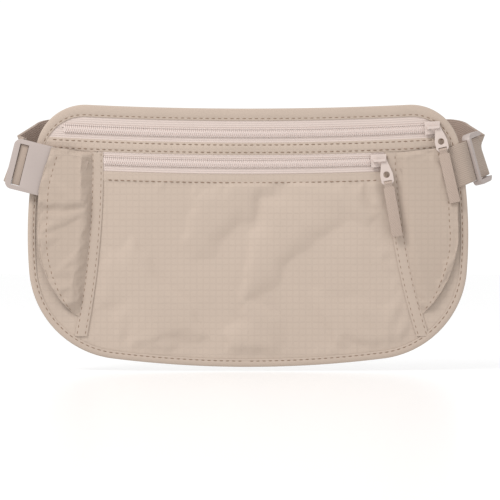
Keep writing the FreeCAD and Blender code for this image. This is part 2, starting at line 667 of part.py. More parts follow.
def walk(start, turn, runs, side):
    """Stations along a strap from a place and (yaw, climb, lean). Each run is its length and the
    (yaw, climb, lean) that it ends at."""
    place = FreeCAD.Vector(*start)
    stations = [(place, heading(*turn, side))]
    for length, end in runs:
        steps = max(1, round(abs(end[0] - turn[0]) / 14))
        for i in range(steps):
            middle, done = ([a + (b - a) * share for a, b in zip(turn, end)]
                            for share in ((i + 0.5) / steps, (i + 1) / steps))
            place = place + heading(*middle, side)[0] * (length / steps)
            stations.append((place, heading(*done, side)))
        turn = end
    return stations


def ribbon(label, stations, offset):
    """Webbing along stations, its middle moved out of the path by an offset."""
    half_wide, half_thick = size("webbing_width / 2"), size("webbing_thick / 2")
    outlines = []
    for place, (along, across, out) in stations:
        middle = place + out * offset
        corners = [middle + across * w + out * d for w, d in
                   ((-half_wide, -half_thick), (half_wide, -half_thick),
                    (half_wide, half_thick), (-half_wide, half_thick))]
        outlines.append(Part.makePolygon(corners + corners[:1]))
    feature = doc.addObject("Part::Feature", label)
    feature.Label = label
    feature.Shape = Part.makeLoft(outlines, True, True)
    feature.Placement = FreeCAD.Placement(ORIGIN_SHIFT, FreeCAD.Rotation())
    subparts.append(feature)


def rounded_turn(radius, degrees):
    """Length of a turn of the strap."""
    return radius * math.radians(degrees)


LAYER_PITCH = 1.6
SPLICE_HALF = 0.2
IN_WING = (0.0, 0.0, 23.0)
AT_ADJUSTER = (62.0, 5.0, 13.0)
SIDEWAYS = (92.0, 14.0, 20.0)
SLANTING = (136.0, 34.0, 7.0)
BEHIND = (180.0, 0.0, 0.0)

front_path = walk((103.6, -2.2, 116.6), IN_WING,
                  [(37.2, IN_WING), (rounded_turn(7.0, AT_ADJUSTER[0]), AT_ADJUSTER)], 1)
bend_end, adjuster_frame = front_path[-1]
adjuster_middle = bend_end + adjuster_frame[0] * (size("adjuster_half") + 3.6)
beyond = size("adjuster_half") - 0.6
turn_back = [(rounded_turn(5.0, SIDEWAYS[0] - AT_ADJUSTER[0]), SIDEWAYS),
             (rounded_turn(8.0, SLANTING[0] - SIDEWAYS[0]), SLANTING), (14.0, SLANTING),
             (rounded_turn(14.0, 180 - SLANTING[0]), BEHIND)]
right_turn = walk(adjuster_middle, AT_ADJUSTER, [(beyond, AT_ADJUSTER)] + turn_back, 1)
back_right, back_frame = right_turn[-1]
splice = (FreeCAD.Vector(SPLICE_HALF, back_right.y, back_right.z), back_frame)
ribbon("strap_right_outer", front_path + right_turn[1:] + [splice], 0.0)
ribbon("strap_right_inner", right_turn[3:] + [splice], -LAYER_PITCH)

# The left half is walked as if it were at the right, drifts to meet the splice, and is mirrored.
lean = math.radians(BUCKLE_LEAN)
LOOP_END = 3.2
left_start = (-BUCKLE_SEAT.x + LOOP_END * math.cos(lean), -2.1, BUCKLE_SEAT.z + LOOP_END * math.sin(lean))
left_turn = walk(left_start, (15.0, 0.0, BUCKLE_LEAN),
                 [(rounded_turn(5.0, SIDEWAYS[0] - 15.0), SIDEWAYS), (21.0, SIDEWAYS),
                  (rounded_turn(10.0, SLANTING[0] - SIDEWAYS[0]), SLANTING), (16.0, SLANTING),
                  (rounded_turn(14.0, 180 - SLANTING[0]), BEHIND)], 1)
gap = back_right - left_turn[-1][0]
drift = FreeCAD.Vector(0, gap.y, gap.z)
left_path = []
for i, (place, frame) in enumerate(left_turn):
    shifted = place + drift * (i / (len(left_turn) - 1))
    left_path.append((FreeCAD.Vector(-shifted.x, shifted.y, shifted.z),
                      [FreeCAD.Vector(-v.x, v.y, v.z) for v in frame]))
left_path.append((FreeCAD.Vector(-SPLICE_HALF, back_right.y, back_right.z), left_path[-1][1]))
ribbon("strap_left_outer", left_path, 0.0)
ribbon("strap_left_inner", left_path[1:], -LAYER_PITCH)
print("belt's back run at", back_right, "drift of the left half", drift)
print("adjuster middle", adjuster_middle, "along", adjuster_frame[0])

# ---------------------------------------------------------------- strap adjuster

along, across, out = adjuster_frame
turn_to_strap = FreeCAD.Rotation(along, out * -1, across, "ZXY")
adjuster_place = FreeCAD.Placement(ORIGIN_SHIFT + adjuster_middle, turn_to_strap)
adjuster = new_body("strap_adjuster", adjuster_place)
frame_block = add_block(adjuster, "frame", "-adjuster_half", "adjuster_half", "-adjuster_height / 2",
                        "adjuster_height / 2", "-2.4", "5.4")
near_end = round_upright_edges(adjuster, frame_block, 5.0, -size("adjuster_half"),
                               size("adjuster_height / 2"))
round_upright_edges(adjuster, near_end, 5.0, size("adjuster_half"), size("adjuster_height / 2"))
half_slot = "slot_length / 2 + 0.3"
cut_block(adjuster, "near_slot", "-7.8", "-1.5", "-slot_length / 2 - 0.3", half_slot, "-4", "9")
cut_block(adjuster, "far_slot", "1.5", "7.8", "-slot_length / 2 - 0.3", half_slot, "-4", "9")
cut_block(adjuster, "near_rail_back", "-adjuster_half - 1", "-7.7", "-slot_length / 2 - 0.3", half_slot,
          "-4", "4.9")
cut_block(adjuster, "far_rail_front", "7.7", "adjuster_half + 1", "-slot_length / 2 - 0.3", half_slot,
          "-0.9", "5")
cut_block(adjuster, "bar_front", "-1.6", "1.6", "-slot_length / 2 - 0.3", half_slot, "-0.9", "5")

# ---------------------------------------------------------------- check and write

doc.recompute()
failed = [o.Label for o in doc.Objects if "Invalid" in o.State or "Error" in o.State]
if failed:
    raise SystemExit("these objects failed: " + ", ".join(failed))
for part in subparts:
    shape = part.Shape
    if shape.isNull() or not shape.isValid() or not shape.Solids:
        raise SystemExit(part.Label + " has no valid solid")
os.makedirs("parts", exist_ok=True)
for part in subparts:
    part.Shape.exportStep(f"parts/{part.Label}.step")
    box = part.Shape.BoundBox
    print(f"{part.Label:24s} {len(part.Shape.Solids)} solid {part.Shape.Volume:9.1f} mm3  "
          f"x {box.XMin:7.1f} {box.XMax:7.1f}  y {box.YMin:6.1f} {box.YMax:6.1f}  "
          f"z {box.ZMin:6.1f} {box.ZMax:6.1f}")
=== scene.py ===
# %% [markdown]
# # A money belt, dressed
# The measured part of this belt comes ready made as a frame. Here every soft piece is remade as
# the cloth, tape or webbing that it is, and every hard piece gets its rounded edges and finish.

# %% Load the frame
import math

import bmesh
import bpy
import numpy as np
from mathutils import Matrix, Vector, noise


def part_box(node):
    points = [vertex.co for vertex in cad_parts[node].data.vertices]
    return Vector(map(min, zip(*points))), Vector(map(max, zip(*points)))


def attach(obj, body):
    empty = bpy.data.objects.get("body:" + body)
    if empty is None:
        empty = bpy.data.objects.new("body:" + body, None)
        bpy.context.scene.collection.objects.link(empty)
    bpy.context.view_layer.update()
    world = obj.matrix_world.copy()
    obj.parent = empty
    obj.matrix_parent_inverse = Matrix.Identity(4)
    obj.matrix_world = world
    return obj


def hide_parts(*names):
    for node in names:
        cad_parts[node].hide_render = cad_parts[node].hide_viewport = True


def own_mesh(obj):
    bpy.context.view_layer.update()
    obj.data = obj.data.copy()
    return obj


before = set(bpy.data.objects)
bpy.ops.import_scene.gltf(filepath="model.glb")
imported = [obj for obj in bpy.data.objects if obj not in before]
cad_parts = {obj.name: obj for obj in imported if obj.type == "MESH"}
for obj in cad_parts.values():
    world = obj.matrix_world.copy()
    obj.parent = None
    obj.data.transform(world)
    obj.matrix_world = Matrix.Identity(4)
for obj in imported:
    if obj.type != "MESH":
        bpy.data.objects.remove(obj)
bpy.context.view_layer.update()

# %% [markdown]
# ## Pouch coordinates
# A flat pouch is easiest to think about as a drawing: X along it, Z up from its lowest point, and
# layers counted forward from the back of its front cloth, all in millimetres. One function turns a
# point of that drawing into a place in the frame, so no other cell needs to know about the shift.

# %% Pouch coordinates
MM = 0.001
LOWEST_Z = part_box("edge_binding")[0][2] / MM
FRONT_CLOTH_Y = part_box("pocket_panel")[1][1] / MM
FABRIC = 0.6


def to_frame(points):
    """Places in the frame, in metres, for an array of (x, z, forward) in millimetres."""
    points = np.asarray(points, float)
    return np.stack([points[..., 0], FRONT_CLOTH_Y - points[..., 2], points[..., 1] + LOWEST_Z], -1) * MM


print("lowest point at", round(LOWEST_Z, 2), "mm, front cloth at", round(FRONT_CLOTH_Y, 2), "mm")

# %% [markdown]
# ## The outline
# The pouch's edge is eight arcs that run into each other. Its inset copies have the same centres,
# so a tape that follows the edge is the same list of points moved along their own normals. The
# arcs could be a Bezier curve, but arcs keep an exact distance from the sewn edge.

# %% The outline
BOTTOM_CORNER, BOTTOM_CORNER_R = (80.5, 67.0), 62.0
TOP_CORNER, TOP_CORNER_R = (106.0, 138.5), 32.0
BOTTOM_R, SIDE_R, TOP_R = 712.0, 300.0, 2200.0
OUTLINE_STEP, UNDER_BINDING = 1.5, 2.0


def outline_centres():
    """Centres of the bottom, side and top arcs, from the corners that they run into."""
    (bx, bz), (tx, tz) = BOTTOM_CORNER, TOP_CORNER
    bottom = (0.0, bz + math.sqrt((BOTTOM_R - BOTTOM_CORNER_R) ** 2 - bx ** 2))
    top = (0.0, tz + math.sqrt((TOP_R + TOP_CORNER_R) ** 2 - tx ** 2))
    near, far = SIDE_R - BOTTOM_CORNER_R, SIDE_R - TOP_CORNER_R
    gap = math.dist(BOTTOM_CORNER, TOP_CORNER)
    along = (near ** 2 - far ** 2 + gap ** 2) / (2 * gap)
    away = math.sqrt(near ** 2 - along ** 2)
    ux, uz = (tx - bx) / gap, (tz - bz) / gap
    return bottom, (bx + ux * along - uz * away, bz + uz * along + ux * away), top


BOTTOM_C, SIDE_C, TOP_C = outline_centres()


def half_outline():
    """Points and inward normals up the right half, from the lowest point to the middle of the top."""
    def angle(centre, toward):
        return math.atan2(toward[1] - centre[1], toward[0] - centre[0])

    low_turn = angle(BOTTOM_C, BOTTOM_CORNER)
    side_low, side_high = angle(SIDE_C, BOTTOM_CORNER), angle(SIDE_C, TOP_CORNER)
    top_turn = angle(TOP_CORNER, TOP_C)
    points, normals = [], []
    for centre, radius, start, end, inward in (
        (BOTTOM_C, BOTTOM_R, -math.pi / 2, low_turn, -1),
        (BOTTOM_CORNER, BOTTOM_CORNER_R, low_turn, side_low, -1),
        (SIDE_C, SIDE_R, side_low, side_high, -1), (TOP_CORNER, TOP_CORNER_R, side_high, top_turn, -1),
        (TOP_C, TOP_R, top_turn - math.pi, -math.pi / 2, 1),
    ):
        turns = max(2, round(radius * abs(end - start) / OUTLINE_STEP))
        for k in range(turns):
            a = start + (end - start) * k / turns
            points.append((centre[0] + radius * math.cos(a), centre[1] + radius * math.sin(a)))
            normals.append((inward * math.cos(a), inward * math.sin(a)))
    points.append((0.0, TOP_C[1] - TOP_R))
    normals.append((0.0, -1.0))
    return np.array(points), np.array(normals)


RIGHT_POINTS, RIGHT_NORMALS = half_outline()
OUTLINE = np.concatenate([RIGHT_POINTS, RIGHT_POINTS[-2:0:-1] * (-1, 1)])
INWARD = np.concatenate([RIGHT_NORMALS, RIGHT_NORMALS[-2:0:-1] * (-1, 1)])


def outline_x(z, inset=0.0):
    """Half width of the pouch at a height, inside an inset."""
    moved = RIGHT_POINTS + RIGHT_NORMALS * inset
    peak = int(moved[:, 1].argmax()) + 1
    return np.interp(z, moved[:peak, 1], moved[:peak, 0])


def outline_z(x, inset=0.0):
    """Height of the pouch's lower edge at a distance from its middle, inside an inset."""
    moved = RIGHT_POINTS + RIGHT_NORMALS * inset
    widest = int(moved[:, 0].argmax()) + 1
    return np.interp(np.abs(x), moved[:widest, 0], moved[:widest, 1])


print("outline:", len(OUTLINE), "points,", round(float(outline_x(90) * 2), 1), "mm wide")

# %% [markdown]
# ## Zips and seams as arcs
# Both zips, the band between them and the pocket's folded top share one centre far above the
# pouch. Each side seam is an arc about a centre beyond the pouch's side.

# %% Zips and seams as arcs
ARC_HEIGHT = 2352.0
TOP_ZIP, FRONT_ZIP = 2200.0, 2219.7
BAND_TOP, TAPE_JOINT, BAND_LOW, POCKET_FOLD = 2206.3, 2210.0, 2214.2, 2226.7
SLOT_HALF, COIL_ROW, JOINT_GAP = 2.0, 0.8, 0.05
SEAMS = {"left": (-688.4, 131.3, 590.4, 1), "right": (540.2, 156.1, 447.8, -1)}
SIGN = {"left": -1, "right": 1}
SEAM_TAPE_HALF = 4.0


def arc_z(radius, x):
    """Height of a zip arc at a distance along the pouch."""
    return ARC_HEIGHT - np.sqrt(radius ** 2 - np.asarray(x, float) ** 2)


def seam_x(side, z, outward=0.0):
    """Where a side seam is at a height, moved outward from its middle line."""
    cx, cz, radius, way = SEAMS[side]
    return cx + way * np.sqrt((radius - outward) ** 2 - (np.asarray(z, float) - cz) ** 2)


def seam_foot(side):
    """Height at which a seam runs under the binding."""
    heights = np.linspace(5, 40, 400)
    inside = outline_z(seam_x(side, heights), UNDER_BINDING) < heights
    return float(heights[inside.argmax()])


def arc_line(radius, x, height):
    """Points of (x, z, forward) along a zip arc, all at one layer."""
    return np.stack([x, arc_z(radius, x), x * 0 + height], -1)


print("seams end at", {side: round(seam_foot(side), 1) for side in SEAMS}, "mm")

# %% [markdown]
# ## Making cloth from grids
# Cloth here is always a grid of points, so its threads run evenly and its map stays square to them.
# A four-sided patch is filled from its edges, given thickness along its own normals, and closed
# round the rim. Extruding a flat outline would be quicker, but it has no points to wrinkle.

# %% Making cloth from grids
CREASE_ANGLE = 48


def add_object(name, data):
    obj = bpy.data.objects.new(name, data)
    bpy.context.scene.collection.objects.link(obj)
    return obj


def rework(mesh, work):
    """Runs work on a bmesh of the mesh and writes the result back."""
    bm = bmesh.new()
    bm.from_mesh(mesh)
    work(bm)
    bm.to_mesh(mesh)
    bm.free()


def dressed(name, mesh, material, body, replaced, slot, crease):
    """An object of a mesh, smooth up to a crease angle, that rides with a body."""
    mesh.materials.clear()
    mesh.materials.append(material)
    mesh.polygons.foreach_set("use_smooth", [True] * len(mesh.polygons))
    mesh.set_sharp_from_angle(angle=math.radians(crease))
    obj = add_object(name, mesh)
    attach(obj, body)
    if replaced:
        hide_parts(*replaced)
    return obj


def piece(name, points, faces, material, body, replaced=(), slot=None, uv=None):
    """An object made from points and faces, which stands for CAD nodes."""
    mesh = bpy.data.meshes.new(name)
    mesh.from_pydata([tuple(p) for p in np.asarray(points, float)], [], [tuple(f) for f in faces])
    if uv is not None:
        layer = mesh.uv_layers.new(name="cloth")
        index = np.empty(len(mesh.loops), int)
        mesh.loops.foreach_get("vertex_index", index)
        layer.data.foreach_set("uv", np.asarray(uv, float)[index].ravel())
    rework(mesh, lambda bm: bmesh.ops.recalc_face_normals(bm, faces=bm.faces))
    return dressed(name, mesh, material, body, replaced, slot, CREASE_ANGLE)


def grid_faces(rows, columns, start=0, flip=False, ring=False, tube=False):
    """Quads of a grid of points. ring joins the last row to the first, tube the last column."""
    faces = []
    for r in range(rows if ring else rows - 1):
        low, high = start + r * columns, start + (r + 1) % rows * columns
        for c in range(columns if tube else columns - 1):
            d = (c + 1) % columns
            quad = (low + c, low + d, high + d, high + c)
            faces.append(quad[::-1] if flip else quad)
    return faces


def surface_normals(grid):
    """Unit normals of a grid of (x, z, forward) points, pointing forward."""
    along, up = np.gradient(grid, axis=1), np.gradient(grid, axis=0)
    normal = np.cross(along, up)
    length = np.linalg.norm(normal, axis=-1, keepdims=True)
    flat = np.array([0.0, 0.0, 1.0])
    return np.where(length > 1e-9, normal / np.maximum(length, 1e-9), flat)


def declare_sheet(grid):
    """Works out the flat shape of a grid, in metres; nothing is done with it."""
    flat = np.asarray(grid, float)[..., :2] * MM


def cloth(name, grid, material, body, replaced=(), slot=None, thick=FABRIC, held=None):
    """A closed sheet whose front is the grid, rows upward and columns along +X."""
    rows, columns = grid.shape[:2]
    back = grid - surface_normals(grid) * thick
    count = rows * columns
    faces = grid_faces(rows, columns) + grid_faces(rows, columns, count, flip=True)
    rim = ([c for c in range(columns)] + [r * columns + columns - 1 for r in range(1, rows)]
           + [count - 1 - c for c in range(1, columns)] + [r * columns for r in range(rows - 2, 0, -1)])
    faces += [(a, a + count, b + count, b) for a, b in zip(rim, rim[1:] + rim[:1])]
    points = np.concatenate([grid.reshape(-1, 3), back.reshape(-1, 3)])
    made = piece(name, to_frame(points), faces, material, body, replaced, slot, uv=points[:, :2] * MM)
    if held:
        declare_sheet(grid)
    return made


def patch(bottom, right, top, left, columns, rows):
    """A grid of (x, z) between four edges, each a function of a share from 0 to 1."""
    u, v = np.linspace(0, 1, columns), np.linspace(0, 1, rows)
    low, high = bottom(u)[None], top(u)[None]
    west, east = left(v)[:, None], right(v)[:, None]
    u, v = u[None, :, None], v[:, None, None]
    corners = ((1 - u) * (1 - v) * low[:, :1] + u * (1 - v) * low[:, -1:]
               + (1 - u) * v * high[:, :1] + u * v * high[:, -1:])
    return (1 - v) * low + v * high + (1 - u) * west + u * east - corners


def layered(flat, height):
    """Adds the forward layer to a grid of (x, z)."""
    return np.concatenate([flat, np.broadcast_to(height, flat.shape[:2])[..., None]], -1)


def straight(start, end):
    """A straight patch edge."""
    return lambda share: start + (end - start) * share[:, None]


def running_length(points):
    """Distance along a line of points, from 0 at its start."""
    return np.concatenate([[0], np.cumsum(np.linalg.norm(np.diff(points, axis=0), axis=1))])


def sampled(stops, reach, points):
    """Points of a line at given distances along it."""
    return np.stack([np.interp(stops, reach, column) for column in points.T], -1)


def smooth_step(value):
    value = np.clip(value, 0, 1)
    return value * value * (3 - 2 * value)


def soft_noise(grid, scale, seed):
    """Smooth noise from -1 to 1 over a grid, for folds of about the given size in millimetres."""
    flat = grid[..., :2].reshape(-1, 2) / scale
    values = [noise.noise(Vector((x, z, seed))) for x, z in flat]
    return np.array(values).reshape(grid.shape[:2])


# %% [markdown]
# ## Letting cloth buckle
# Real cloth is never flat between its seams: it is cut a little larger than the space it fills, so
# it buckles. Blender's cloth solver does this well when the edges are pinned and the cloth is told
# that it is a little longer than drawn. The result is read back as points, with every move capped
# so that the cloth stays clear of the layers beside it.

# %% Letting cloth buckle
SOLVER_FRAMES, SIDEWAYS_LIMIT = 24, 0.6


def buckled(grid, spare, cap, stiffness=4.0):
    """The grid after its cloth has been made longer by a share, with its four edges held."""
    rows, columns = grid.shape[:2]
    mesh = bpy.data.meshes.new("cloth_trial")
    mesh.from_pydata([tuple(p) for p in to_frame(grid).reshape(-1, 3)], [], grid_faces(rows, columns))
    trial = add_object("cloth_trial", mesh)
    held = trial.vertex_groups.new(name="held")
    edge = [r * columns + c for r in range(rows) for c in range(columns)
            if r in (0, rows - 1) or c in (0, columns - 1)]
    held.add(edge, 1.0, "REPLACE")
    solver = trial.modifiers.new("cloth", "CLOTH")
    settings = solver.settings
    settings.quality = 5
    settings.mass = 0.08
    settings.tension_stiffness = settings.compression_stiffness = 12
    settings.shear_stiffness = 4
    settings.bending_stiffness = stiffness
    settings.shrink_min = settings.shrink_max = -spare
    settings.vertex_group_mass = "held"
    settings.effector_weights.gravity = 0.0
    solver.collision_settings.use_collision = False
    solver.point_cache.frame_start, solver.point_cache.frame_end = 1, SOLVER_FRAMES
    scene = bpy.context.scene
    for number in range(1, SOLVER_FRAMES + 1):
        scene.frame_set(number)
    result = trial.evaluated_get(bpy.context.evaluated_depsgraph_get()).data
    moved = np.empty(len(result.vertices) * 3)
    result.vertices.foreach_get("co", moved)
    moved = moved.reshape(rows, columns, 3) / MM
    bpy.data.objects.remove(trial)
    scene.frame_set(1)
    moved = np.stack([moved[..., 0], moved[..., 2] - LOWEST_Z, FRONT_CLOTH_Y - moved[..., 1]], -1)
    shift = moved - grid
    shift[..., 2] = cap * np.tanh(shift[..., 2] / cap)
    shift[..., :2] = np.clip(shift[..., :2], -SIDEWAYS_LIMIT, SIDEWAYS_LIMIT)
    return grid + shift


# %% [markdown]
# ## Shared surface effects
# Several cloths here differ only in thread size and colour, so the weave, the ribs and the faint
# unevenness of dye are node groups. Each gives out only masks and heights that vary over the
# surface. The shader itself, and every value that is the same all over, stays in its material.

# %% Shared surface effects
NET_THREAD_EDGE = 0.42


def node_group(name, inputs, outputs):
    group = bpy.data.node_groups.new(name, "ShaderNodeTree")
    for direction, sockets in (("INPUT", inputs), ("OUTPUT", outputs)):
        for socket, kind, *default in sockets:
            made = group.interface.new_socket(socket, in_out=direction, socket_type="NodeSocket" + kind)
            if default:
                made.default_value = default[0]
    source, sink = group.nodes.new("NodeGroupInput"), group.nodes.new("NodeGroupOutput")
    return group, source, sink


def feed(tree, socket, value):
    """Gives a socket another node's output or a plain value."""
    if isinstance(value, bpy.types.NodeSocket):
        tree.links.new(value, socket)
    else:
        socket.default_value = value


def axes_of(tree, vector):
    """The outputs for x, y and z of a vector."""
    split = tree.nodes.new("ShaderNodeSeparateXYZ")
    tree.links.new(vector, split.inputs[0])
    return split.outputs


def object_axes(tree):
    return axes_of(tree, tree.nodes.new("ShaderNodeTexCoord").outputs["Object"])


def math_node(tree, operation, *values):
    """A Math node, with each value either a number or another node's output."""
    node = tree.nodes.new("ShaderNodeMath")
    node.operation = operation
    for socket, value in zip(node.inputs, values):
        feed(tree, socket, value)
    return node.outputs[0]


def build_weave():
    """Plain weave: threads pass over and under each other in a chequer."""
    group, source, sink = node_group(
        "plain weave", [("Map", "Vector"), ("Threads per metre", "Float", 2000.0)], [("Height", "Float")])
    waves = []
    for axis in axes_of(group, source.outputs["Map"])[:2]:
        turns = math_node(group, "MULTIPLY", axis, source.outputs["Threads per metre"])
        waves.append(math_node(group, "SINE", math_node(group, "MULTIPLY", turns, math.pi)))
    height = math_node(group, "MULTIPLY", *waves)
    group.links.new(math_node(group, "MULTIPLY_ADD", height, 0.5, 0.5), sink.inputs["Height"])
    return group


def build_ripstop():
    """Ripstop: a square net of thicker threads in the weave, as a mask."""
    group, source, sink = node_group(
        "ripstop net", [("Map", "Vector"), ("Squares per metre", "Float", 250.0)], [("Mask", "Float")])
    lines = []
    for axis in axes_of(group, source.outputs["Map"])[:2]:
        turns = math_node(group, "MULTIPLY", axis, source.outputs["Squares per metre"])
        near = math_node(group, "SUBTRACT", math_node(group, "FRACT", turns), 0.5)
        near = math_node(group, "ABSOLUTE", near)
        lines.append(math_node(group, "GREATER_THAN", near, NET_THREAD_EDGE))
    group.links.new(math_node(group, "MAXIMUM", *lines), sink.inputs["Mask"])
    return group


def build_ribs():
    """Ribs that run along a tape, from a distance measured across it."""
    group, source, sink = node_group(
        "tape ribs", [("Across", "Float"), ("Ribs per metre", "Float", 1000.0)], [("Height", "Float")])
    turns = math_node(group, "MULTIPLY", source.outputs["Across"], source.outputs["Ribs per metre"])
    wave = math_node(group, "SINE", math_node(group, "MULTIPLY", turns, 2 * math.pi))
    group.links.new(math_node(group, "MULTIPLY_ADD", wave, 0.5, 0.5), sink.inputs["Height"])
    return group


def build_dye():
    """Slow, faint unevenness of dye and handling, from 0 to 1."""
    group, source, sink = node_group("uneven dye", [("Scale", "Float", 30.0)], [("Shade", "Float")])
    place = group.nodes.new("ShaderNodeTexCoord")
    cloud = group.nodes.new("ShaderNodeTexNoise")
    cloud.inputs["Detail"].default_value = 3.0
    group.links.new(place.outputs["Object"], cloud.inputs["Vector"])
    group.links.new(source.outputs["Scale"], cloud.inputs["Scale"])
    group.links.new(cloud.outputs["Fac"], sink.inputs["Shade"])
    return group


WEAVE, RIPSTOP, RIBS, DYE = build_weave(), build_ripstop(), build_ribs(), build_dye()
print("shared effects:", [g.name for g in (WEAVE, RIPSTOP, RIBS, DYE)])

# %% [markdown]
# ## Finishes
# Each real finish is one material: a shader with its own colour, fed by the shared effects.
# Colours are given as they look in print and turned into linear light once.

# %% Finish helpers
def linear(red, green, blue):
    """Linear light from a colour as it is printed, each part from 0 to 255."""
    shares = (c / 255 for c in (red, green, blue))
    return tuple(c / 12.92 if c <= 0.04 else ((c + 0.055) / 1.055) ** 2.4 for c in shares) + (1.0,)


def finish_base(name, roughness, specular=0.3, sheen=0.0):
    made = bpy.data.materials.new(name)
    made.use_nodes = True
    tree = made.node_tree
    shader = tree.nodes["Principled BSDF"]
    shader.inputs["Roughness"].default_value = roughness
    shader.inputs["Specular IOR Level"].default_value = specular
    shader.inputs["Sheen Weight"].default_value = sheen
    return made, tree, shader


def use_group(tree, group, **values):
    node = tree.nodes.new("ShaderNodeGroup")
    node.node_tree = group
    for socket, value in values.items():
        feed(tree, node.inputs[socket.replace("_", " ")], value)
    return node.outputs[0]


def mix_colour(tree, share, first, second):
    mix = tree.nodes.new("ShaderNodeMix")
    mix.data_type = "RGBA"
    tree.links.new(share, mix.inputs["Factor"])
    colours = [socket for socket in mix.inputs if socket.type == "RGBA"]
    feed(tree, colours[0], first)
    feed(tree, colours[1], second)
    return [o for o in mix.outputs if o.type == "RGBA"][0]


def add_bump(tree, shader, height, distance, strength=1.0):
    bump = tree.nodes.new("ShaderNodeBump")
    bump.inputs["Distance"].default_value = distance
    bump.inputs["Strength"].default_value = strength
    tree.links.new(height, bump.inputs["Height"])
    tree.links.new(bump.outputs[0], shader.inputs["Normal"])


def cloth_map(tree):
    node = tree.nodes.new("ShaderNodeUVMap")
    node.uv_map = "cloth"
    return node.outputs[0]


def shaded(colour, factor):
    return tuple(c * factor for c in colour[:3]) + (1.0,)


def dyed(tree, colour, scale, spread):
    """A colour that varies slowly by a share of itself."""
    cloud = use_group(tree, DYE, Scale=scale)
    return mix_colour(tree, cloud, shaded(colour, 1 - spread), shaded(colour, 1 + spread))


# %% Cloth finishes
BEIGE = linear(188, 171, 157)
# The stash pockets are the pouch's own ripstop; their darker beige is painted shade.
WING_BEIGE_SHADED = linear(180, 163, 149)
ZIP_PINK = linear(209, 193, 185)
COIL_PINK = linear(216, 201, 194)
WEBBING_BROWN = linear(172, 155, 142)
# Inner face of the webbing: its grey-brown backing, painted darker still as shade inside the loops.
WEBBING_BACKING_AND_SHADE = linear(156, 138, 127)
# The thread matches the cloth; its darker colour here is painted shade of the stitch holes.
THREAD_WITH_HOLE_SHADE = linear(138, 116, 100)
PLASTIC = linear(176, 163, 157)
METAL_PAINT = linear(204, 188, 180)
WEAVE_DEPTH, GRAIN_DEPTH, GRAIN_SCALE = 0.00012, 0.00003, 1500.0


def woven_finish(name, colour, threads, net=None, dye=24.0):
    """Cloth with a plain weave, and a ripstop net where net gives its squares per metre."""
    made, tree, shader = finish_base(name, 0.82, 0.25, 0.15)
    place = cloth_map(tree)
    weave = use_group(tree, WEAVE, Map=place, Threads_per_metre=threads)
    tone = dyed(tree, colour, dye, 0.07)
    height = math_node(tree, "MULTIPLY", weave, 0.35)
    if net:
        lines = use_group(tree, RIPSTOP, Map=place, Squares_per_metre=net)
        tone = mix_colour(tree, math_node(tree, "MULTIPLY", lines, 0.25), tone, shaded(colour, 0.9))
        height = math_node(tree, "ADD", height, lines)
    tree.links.new(tone, shader.inputs["Base Color"])
    add_bump(tree, shader, height, WEAVE_DEPTH, 0.6)
    return made


def ribbed_finish(name, colour, ribs, depth, across=None, roughness=0.8, threads=1800.0):
    """Tape with ribs along it, their grooves painted darker as shade. across picks the distance measured
    over its width.
    """
    made, tree, shader = finish_base(name, roughness, 0.25, 0.12)
    distance = across(tree) if across else axes_of(tree, cloth_map(tree))[1]
    rib = use_group(tree, RIBS, Across=distance, Ribs_per_metre=ribs)
    weave = use_group(tree, WEAVE, Map=cloth_map(tree), Threads_per_metre=threads)
    # The rib valleys get the darker colour: painted shade in the grooves.
    tone = mix_colour(tree, rib, shaded(colour, 0.92), dyed(tree, colour, 60.0, 0.06))
    tree.links.new(tone, shader.inputs["Base Color"])
    height = math_node(tree, "MULTIPLY_ADD", weave, 0.25, rib)
    add_bump(tree, shader, height, depth, 0.8)
    return made


def distance_from_arc_centre(tree):
    """Distance from the zips' common centre, so ribs follow the zips."""
    x, _, z = object_axes(tree)
    fall = math_node(tree, "SUBTRACT", (ARC_HEIGHT + LOWEST_Z) * MM, z)
    squares = math_node(tree, "ADD", math_node(tree, "MULTIPLY", fall, fall),
                        math_node(tree, "MULTIPLY", x, x))
    return math_node(tree, "SQRT", squares)


def slanting_distance(tree):
    """Distance across slanting ribs, as twill tape has."""
    x, _, z = object_axes(tree)
    return math_node(tree, "ADD", x, z)


def plain_finish(name, colour, roughness, specular=0.4, dye=90.0, spread=0.03):
    """Moulded or painted surface with a very fine grain."""
    made, tree, shader = finish_base(name, roughness, specular)
    tree.links.new(dyed(tree, colour, dye, spread), shader.inputs["Base Color"])
    add_bump(tree, shader, use_group(tree, DYE, Scale=GRAIN_SCALE), GRAIN_DEPTH, 0.5)
    return made


POUCH_CLOTH = woven_finish("pouch cloth", BEIGE, 2400.0, net=240.0)
LINING_CLOTH = woven_finish("lining cloth", shaded(BEIGE, 0.8), 2600.0)
WING_CLOTH = woven_finish("wing cloth with painted shade", WING_BEIGE_SHADED, 2400.0, net=240.0, dye=16.0)
BINDING_TAPE = ribbed_finish("binding tape", BEIGE, 1300.0, 0.00006, roughness=0.85)
ZIP_TAPE = ribbed_finish("zip tape", ZIP_PINK, 700.0, 0.0002, distance_from_arc_centre, 0.7)
PULL_TAPE = ribbed_finish("pull tape", linear(182, 163, 150), 620.0, 0.00025, slanting_distance)
WEBBING = ribbed_finish("elastic webbing", WEBBING_BROWN, 800.0, 0.00018, threads=1100.0)
WEBBING_INSIDE_AND_SHADE = ribbed_finish("webbing inside, backing and painted shade", WEBBING_BACKING_AND_SHADE, 800.0, 0.00018, threads=1100.0)
COIL_NYLON = plain_finish("coil nylon", COIL_PINK, 0.45)
SEWING_THREAD_WITH_HOLE_SHADE = plain_finish("sewing thread with painted hole shade", THREAD_WITH_HOLE_SHADE, 0.75, 0.2)
BUCKLE_PLASTIC = plain_finish("buckle plastic", PLASTIC, 0.42, 0.45, 60.0, 0.02)
ZIP_METAL = plain_finish("painted zip metal", METAL_PAINT, 0.32, 0.6, 60.0, 0.02)
print("finishes:", len(bpy.data.materials))

